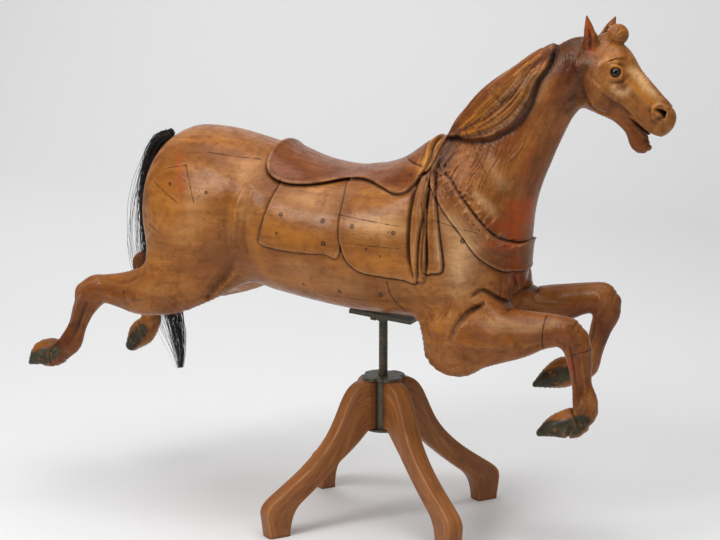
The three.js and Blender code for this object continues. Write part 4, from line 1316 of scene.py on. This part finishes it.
def glassEye():
    # a dark pupil in a brown ring under a clear coat
    material, g, shader = newMaterial("glassEye")
    place = g.add("ShaderNodeTexCoord").outputs["Object"]
    x, _, z = eyes["centre"]
    flat = g.vector("MULTIPLY", place, (1, 0, 1))
    middle = (x * mm + horseX + 0.0010, 0, z * mm + 0.0004)
    r = g.vector("DISTANCE", flat, middle, "Value")
    ring = g.noise(place, 900.0, 3)
    iris = g.mix(g.span(ring, 0.35, 0.7), (0.022, 0.009, 0.004, 1), (0.05, 0.02, 0.008, 1))
    colour = g.mix(g.span(r, 0.0060, 0.0070), (0.003, 0.0025, 0.0025, 1), iris)
    colour = g.mix(g.span(r, 0.0076, 0.0090), colour, (0.012, 0.006, 0.004, 1))
    g.feed(colour, shader, "Base Color")
    shader.inputs["Roughness"].default_value = 0.10
    shader.inputs["Specular IOR Level"].default_value = 0.2
    shader.inputs["Coat Weight"].default_value = 0.45
    shader.inputs["Coat Roughness"].default_value = 0.03
    return material


horseWood = carvedWood()
oak = standWood()
darkIron = metal("darkIron", (0.075, 0.068, 0.058, 1), (0.12, 0.105, 0.08, 1), (0.12, 0.06, 0.03, 1), 0.5)
greyIron = metal("greyGreenIron", (0.12, 0.115, 0.085, 1), (0.075, 0.075, 0.055, 1), (0.14, 0.075, 0.035, 1),
                 0.35)
rustIron = metal("rustIron", (0.16, 0.07, 0.035, 1), (0.10, 0.05, 0.03, 1), (0.30, 0.12, 0.045, 1), 0.9,
                 (0.6, 0.85), 0.2)
hairBlack = hairMaterial()
eyeGlass = glassEye()


def dress(piece, material, body, slotName, *nodes):
    piece.data.materials.clear()
    piece.data.materials.append(material)
    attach(piece, body)
    if nodes:
        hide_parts(*nodes)


dress(horse, horseWood, "horse_body", "carved_wood", "horse")
stageDone("materials")


def makeEye(side, name):
    x, y, z = eyes["centre"]
    bm = bmesh.new()
    bmesh.ops.create_uvsphere(bm, u_segments=40, v_segments=24, radius=eyes["radius"] * mm)
    for v in bm.verts:
        v.co = (v.co.x + x * mm + horseX, v.co.z + side * y * mm, v.co.y + z * mm)
    bmesh.ops.recalc_face_normals(bm, faces=bm.faces)
    piece = pieceFrom(name, bm)
    smoothShade(piece)
    return piece


dress(makeEye(-1, "eye_lens_right"), eyeGlass, "horse_body", "eye_glass", "eye_right")
dress(makeEye(1, "eye_lens_left"), eyeGlass, "horse_body", "eye_glass", "eye_left")


stand = {"thick": 32, "bevel": 5.0, "rings": 64, "angles": {
    "leg_right_rear": -127, "leg_right_front": -37, "leg_left_front": 53, "leg_left_rear": 143}}


def bezier(a, b, c, d, n):
    t = np.linspace(0, 1, n)[:, None]
    a, b, c, d = (np.array(v, float) for v in (a, b, c, d))
    return a * (1 - t) ** 3 + 3 * b * t * (1 - t) ** 2 + 3 * c * t * t * (1 - t) + d * t ** 3


def straight(a, b, n):
    return np.linspace(a, b, n)


def evenly(points, n):
    d = np.concatenate([[0], np.cumsum(np.linalg.norm(np.diff(points, axis=0), axis=1))])
    s = np.linspace(0, d[-1], n)
    return np.stack([np.interp(s, d, points[:, i]) for i in (0, 1)], 1)


outerSide = np.vstack([straight((24.3, 273.7), (42, 273.7), 6)[:-1], bezier((42, 273.7), (76, 269.7),
        (84, 236), (101, 202), 14)[:-1],
                       bezier((101, 202), (118, 166), (148, 136), (192, 105), 16)[:-1],
                       straight((192, 105), (228, 81), 6)[:-1],
                       bezier((228, 81), (251, 66), (261, 58), (259, 42), 8)[:-1],
                       straight((259, 42), (253, 0), 6)])
innerSide = np.vstack([straight((24.3, 180), (38, 180), 6)[:-1], straight((38, 180), (86, 141), 10)[:-1],
                       bezier((86, 141), (107, 121), (137, 95), (175, 67), 16)[:-1],
                       bezier((175, 67), (196, 53), (206, 40), (209, 0), 12)])


def makeLeg(name, angle):
    n = stand["rings"]
    a, b = evenly(outerSide, n), evenly(innerSide, n)
    half, bev = stand["thick"] / 2, stand["bevel"]
    turn = math.radians(angle)
    section = []   # share of the way from the outer to the inner edge, inset from that edge, across
    for i in range(5):
        t = i / 4 * math.pi / 2
        section.append((0, bev - bev * math.sin(t), -half + bev - bev * math.cos(t)))
    ring = [(0, q, w) for _, q, w in section] + [(0, q, -w) for _, q, w in section[::-1]]
    ring += [(1, q, -w) for _, q, w in section] + [(1, q, w) for _, q, w in section[::-1]]
    corners, grain, wearAndShade = [], [], []
    run = np.concatenate([[0], np.cumsum(np.linalg.norm(np.diff((a + b) / 2, axis=0), axis=1))])
    for i in range(n):
        across = b[i] - a[i]
        depth = np.linalg.norm(across)
        across = across / depth
        for j, (side, inset, w) in enumerate(ring):
            p = a[i] + across * inset if side == 0 else b[i] - across * inset
            corners.append((p[0] * math.cos(turn) - w * math.sin(turn), p[0] * math.sin(turn)
                            + w * math.cos(turn), p[1]))
            grain.append((run[i] * mm + angle, w * mm, (inset if side == 0 else depth - inset) * mm + angle
                          * 0.37))
            edge = 1.0 if 0.2 < inset / bev < 0.95 else 0.25
            # the second value marks the top end under the hub and the foot by the floor, for painted shade
            # where the leg meets them
            top = 1 if run[i] < 14 else 0
            wearAndShade.append((edge, 0.5 * top + (0.5 if corners[-1][2] < 4 else 0)))
    m = len(ring)
    bm = bmesh.new()
    verts = [bm.verts.new((c[0] * mm + screwX, c[1] * mm + screwY, c[2] * mm)) for c in corners]
    for i in range(n - 1):
        for j in range(m):
            k = (j + 1) % m
            bm.faces.new((verts[i * m + j], verts[i * m + k], verts[(i + 1) * m + k],
                          verts[(i + 1) * m + j]))
    bm.faces.new(verts[:m])
    bm.faces.new(verts[-m:])
    bmesh.ops.recalc_face_normals(bm, faces=bm.faces)
    piece = pieceFrom(name, bm)
    for f in piece.data.polygons:
        f.use_smooth = len(f.vertices) == 4
    store = piece.data.attributes.new("grain", "FLOAT_VECTOR", "POINT")
    store.data.foreach_set("vector", np.array(grain, np.float32).ravel())
    wearAndShade = np.array(wearAndShade)
    keepAttribute(piece, "wearAndShade", (wearAndShade[:, 0], wearAndShade[:, 1]))
    return piece


for node, angle in stand["angles"].items():
    dress(makeLeg("oak_" + node, angle), oak, "stand", "stand_wood", node)
for node, material in (("hub", greyIron), ("belly_bar", greyIron), ("belly_bolt", rustIron)):
    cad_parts[node].data.materials.clear()
    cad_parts[node].data.materials.append(material)
stageDone("stand")


# geometry nodes make the spindle's thread and the tail's hairs

def geometryTree(name, sockets):
    tree = bpy.data.node_groups.new(name, "GeometryNodeTree")
    tree.is_modifier = True
    tree.interface.new_socket("Geometry", in_out="INPUT", socket_type="NodeSocketGeometry")
    tree.interface.new_socket("Geometry", in_out="OUTPUT", socket_type="NodeSocketGeometry")
    for label, kind, value in sockets:
        made = tree.interface.new_socket(label, in_out="INPUT", socket_type=kind)
        if value is not None:
            made.default_value = value
    g = Graph(tree)
    return tree, g, g.add("NodeGroupInput"), g.add("NodeGroupOutput")


def runTree(piece, tree, values):
    modifier = piece.modifiers.new(tree.name, "NODES")
    modifier.node_group = tree
    for item in tree.interface.items_tree:
        if item.item_type == "SOCKET" and item.in_out == "INPUT" and item.name in values:
            modifier[item.identifier] = values[item.name]
    bake(piece)


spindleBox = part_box("spindle")
thread = {"pitch": 4.6, "core": 7.7, "crest": 9.0}


def makeSpindle():
    tall = (spindleBox[1].z - spindleBox[0].z)
    tree, g, given, result = geometryTree("threadedRod", [
        ("Height", "NodeSocketFloat", tall), ("Pitch", "NodeSocketFloat", 0.005),
        ("Core Radius", "NodeSocketFloat", 0.008),
        ("Crest Radius", "NodeSocketFloat", 0.009), ("Material", "NodeSocketMaterial", None)])
    turns = g.math("DIVIDE", g.math("SUBTRACT", given.outputs["Height"], given.outputs["Pitch"]),
                   given.outputs["Pitch"])
    ridge = g.math("DIVIDE", given.outputs["Pitch"], 2.15)
    middle = g.math("SUBTRACT", given.outputs["Crest Radius"], ridge)
    spiral = g.add("GeometryNodeCurveSpiral", {"Resolution": 22, "Rotations": turns, "Start Radius": middle,
                                               "End Radius": middle, "Height": g.math("SUBTRACT",
                                                       given.outputs["Height"], given.outputs["Pitch"])})
    section = g.add("GeometryNodeCurvePrimitiveCircle", {"Resolution": 4, "Radius": ridge})
    wound = g.add("GeometryNodeCurveToMesh", {"Curve": spiral.outputs[0],
                                              "Profile Curve": section.outputs[0], "Fill Caps": True})
    lifted = g.add("GeometryNodeTransform", {"Geometry": wound.outputs[0], "Translation": g.add(
        "ShaderNodeCombineXYZ", {"Z": g.math("DIVIDE", given.outputs["Pitch"], 2.0)}).outputs[0]})
    core = g.add("GeometryNodeMeshCylinder", {"Vertices": 40, "Radius": given.outputs["Core Radius"],
                                              "Depth": given.outputs["Height"]})
    placed = g.add("GeometryNodeTransform", {"Geometry": core.outputs[0], "Translation": g.add(
        "ShaderNodeCombineXYZ", {"Z": g.math("DIVIDE", given.outputs["Height"], 2.0)}).outputs[0]})
    both = g.add("GeometryNodeJoinGeometry")
    g.tree.links.new(lifted.outputs[0], both.inputs[0])
    g.tree.links.new(placed.outputs[0], both.inputs[0])
    real = g.add("GeometryNodeRealizeInstances", {"Geometry": both.outputs[0]})
    shade = g.add("GeometryNodeSetMaterial", {"Geometry": real.outputs[0],
                                              "Material": given.outputs["Material"]})
    g.tree.links.new(shade.outputs[0], result.inputs[0])
    piece = linked("threaded_spindle", bpy.data.meshes.new("threaded_spindle"))
    runTree(piece, tree, {"Height": tall, "Pitch": thread["pitch"] * mm, "Core Radius": thread["core"] * mm,
                          "Crest Radius": thread["crest"] * mm, "Material": darkIron})
    piece.data.transform(Matrix.Translation((screwX, screwY, spindleBox[0].z)))
    return piece


dress(makeSpindle(), darkIron, "screw", "iron", "spindle")

tail = {"hairs": 470, "seed": 5, "radius": 0.40, "points": 14}
tailPath = [(-436, 0, 717, 8, 10), (-456, 0, 710, 12, 16), (-476, 0, 682, 14, 20), (-488, 0, 622, 15, 24),
            (-490, 0, 552, 15, 25), (-478, 0, 482, 18, 25), (-455, 0, 412, 17, 22), (-438, 0, 347, 16, 21),
            (-430, 0, 297, 12, 17), (-427, 0, 252, 5, 8)]


def makeTail():
    # guide lines: hairs that keep their place in the hank, with some that end early and some that stray
    random = np.random.RandomState(tail["seed"])
    spine = smoothPath(tailPath, 10.0)
    n = len(spine)
    tangent = unit(np.gradient(spine[:, :3], axis=0))
    outward = unit(np.cross(tangent, (0.0, 1.0, 0.0)))
    low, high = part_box("tail")
    corners, edges, thickness = [], [], []
    for _ in range(tail["hairs"]):
        stray = random.rand() < 0.26
        angle, radius = random.uniform(0, 2 * math.pi), math.sqrt(random.uniform(0.0, 1.0))
        start = 0 if random.rand() < 0.7 else random.randint(0, n // 3)
        end = n if random.rand() < 0.35 else random.randint(int(n * 0.55), n)
        if end - start < 6:
            continue
        index = np.linspace(start, end - 1, tail["points"])
        at = np.stack([np.interp(index, np.arange(n), spine[:, i]) for i in range(5)], 1)
        out = np.stack([np.interp(index, np.arange(n), outward[:, i]) for i in range(3)], 1)
        share = index / (n - 1)
        lock = 0.35 * np.sin(share * 9 + math.floor(angle * 3) * 2.1)
        swing = random.normal(0, 0.10, 3)
        u = radius * math.cos(angle) + lock * 0.4 + swing[0] * np.sin(share * 14 + angle * 5)
        w = radius * math.sin(angle) + lock * 0.4 + swing[1] * np.sin(share * 12 + angle * 3)
        if stray:
            u = u + random.uniform(-2.2, 1.3) * np.sin(np.clip(share - 0.08, 0, 1) * math.pi)
            w = w + random.uniform(-1.0, 1.0) * np.sin(np.clip(share - 0.08, 0, 1) * math.pi)
        p = at[:, :3] + out * (u * at[:, 3])[:, None] + np.array([[0, 1, 0]]) * (w * at[:, 4])[:, None]
        first = len(corners)
        corners.extend(p * mm + np.array([horseX, 0, 0]))
        edges.extend((first + i, first + i + 1) for i in range(len(p) - 1))
        thickness.extend(tail["radius"] * mm * np.interp(np.linspace(0, 1, len(p)), (0, 0.7, 1),
                                                         (1.0, 0.9, 0.35)))
    mesh = bpy.data.meshes.new("horsehair_tail")
    mesh.from_pydata([tuple(c) for c in corners], edges, [])
    store = mesh.attributes.new("thickness", "FLOAT", "POINT")
    store.data.foreach_set("value", np.array(thickness, np.float32))
    piece = linked("horsehair_tail", mesh)
    tree, g, given, result = geometryTree("hairsOnGuides", [
        ("Sides", "NodeSocketInt", 3), ("Material", "NodeSocketMaterial", None)])
    curve = g.add("GeometryNodeMeshToCurve", {"Mesh": given.outputs["Geometry"]})
    width = g.add("GeometryNodeInputNamedAttribute", data_type="FLOAT")
    width.inputs["Name"].default_value = "thickness"
    radius = g.add("GeometryNodeSetCurveRadius",
                   {"Curve": curve.outputs[0], "Radius": width.outputs["Attribute"]})
    section = g.add("GeometryNodeCurvePrimitiveCircle", {"Resolution": given.outputs["Sides"],
                                                         "Radius": 1.0})
    tube = g.add("GeometryNodeCurveToMesh", {"Curve": radius.outputs[0], "Profile Curve": section.outputs[0],
                                             "Fill Caps": True})
    if "Scale" in tube.inputs:
        g.tree.links.new(width.outputs["Attribute"], tube.inputs["Scale"])
    real = g.add("GeometryNodeRealizeInstances", {"Geometry": tube.outputs[0]})
    shade = g.add("GeometryNodeSetMaterial", {"Geometry": real.outputs[0],
                                              "Material": given.outputs["Material"]})
    g.tree.links.new(shade.outputs[0], result.inputs[0])
    runTree(piece, tree, {"Sides": 3, "Material": hairBlack})
    return piece


dress(makeTail(), hairBlack, "horse_body", "horsehair", "tail")
stageDone("thread and tail")

# floor, light and camera
studio = {
    "floor": (0.80, 0.80, 0.80, 1), "world": 0.12, "horizon": 0.5, "halfWidth": 11.0, "front": -9.0,
    "bendStart": 3.2, "bendRadius": 1.5, "top": 5.0, "lens": 112.5, "sensor": 36,
    "camera": (1.62222, -3.82703, 1.34113),
    "right": (0.92330712, 0.38406244, 0), "up": (-0.07827969, 0.18818866, 0.97900833),
    "ahead": (-0.37600033, 0.90392537, -0.20382022)}
lamps = [  # name, place, what it points at, size, watts, how much of it shows as gloss
    ("topLight", (0.2, -0.5, 3.5), (0, 0, 0.5), 3.4, 112, 0.7), ("keyLight", (-1.7, -3.3, 2.9), (0, 0, 0.7),
            1.5, 84, 2.2),
    ("fillLight", (3.4, -2.4, 1.5), (0, 0, 0.6), 1.6, 14, 1.2), ("backLight", (-2.6, 2.4, 3.6),
            (-2.6, 4.6, 1.2), 3.0, 70, 0.0),
]


def makeFloor():
    bm = bmesh.new()
    start, radius = studio["bendStart"], studio["bendRadius"]
    profile = [(studio["front"], 0.0), (start, 0.0)]
    profile += [(start + radius * math.sin(a), radius - radius * math.cos(a)) for a in np.linspace(0.1,
            math.pi / 2, 14)]
    profile += [(start + radius, studio["top"])]
    left, right = ([bm.verts.new((x, y, z)) for y, z in profile] for x in (-studio["halfWidth"],
            studio["halfWidth"]))
    for i in range(len(profile) - 1):
        bm.faces.new((left[i], right[i], right[i + 1], left[i + 1]))
    floorPiece = pieceFrom("studio_floor", bm)
    smoothShade(floorPiece)
    material, g, shader = newMaterial("paleBackdrop")
    shader.inputs["Base Color"].default_value = studio["floor"]
    shader.inputs["Roughness"].default_value = 0.85
    behind = g.add("ShaderNodeNewGeometry").outputs["Backfacing"]   # the backdrop is open from behind
    clear = g.add("ShaderNodeBsdfTransparent").outputs[0]
    pick = g.add("ShaderNodeMixShader", {0: behind, 1: shader.outputs[0], 2: clear})
    g.feed(pick.outputs[0], material.node_tree.nodes["Material Output"], "Surface")
    floorPiece.data.materials.append(material)


def makeCamera():
    data = bpy.data.cameras.new("camera")
    data.lens, data.sensor_width = studio["lens"], studio["sensor"]
    camera = linked("camera", data)
    right, up, ahead = (Vector(studio[name]) for name in ("right", "up", "ahead"))
    turn = Matrix((right, up, -ahead)).transposed().to_4x4()
    camera.matrix_world = Matrix.Translation(studio["camera"]) @ turn
    bpy.context.scene.camera = camera


def addArea(name, place, target, size, power, gloss):
    light = bpy.data.lights.new(name, "AREA")
    light.energy, light.size, light.specular_factor = power, size, gloss
    lamp = linked(name, light)
    lamp.location = place
    lamp.rotation_euler = (Vector(target) - Vector(place)).to_track_quat("-Z", "Y").to_euler()


def makeWorld():
    world = bpy.data.worlds.new("studio")
    world.use_nodes = True
    g = Graph(world.node_tree)
    sky = world.node_tree.nodes["Background"]
    sky.inputs["Color"].default_value = (0.95, 0.97, 1.0, 1)
    seen = g.add("ShaderNodeLightPath").outputs["Is Camera Ray"]   # what is seen past the backdrop is paler
    strength = g.add("ShaderNodeMath", {0: seen, 1: studio["horizon"], 2: studio["world"]},
                     operation="MULTIPLY_ADD")
    g.feed(strength.outputs[0], sky, "Strength")
    bpy.context.scene.world = world


makeFloor()
makeCamera()
for lamp in lamps:
    addArea(*lamp)
makeWorld()
bpy.context.scene.view_settings.view_transform = "Standard"

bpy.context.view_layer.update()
stageDone("all")
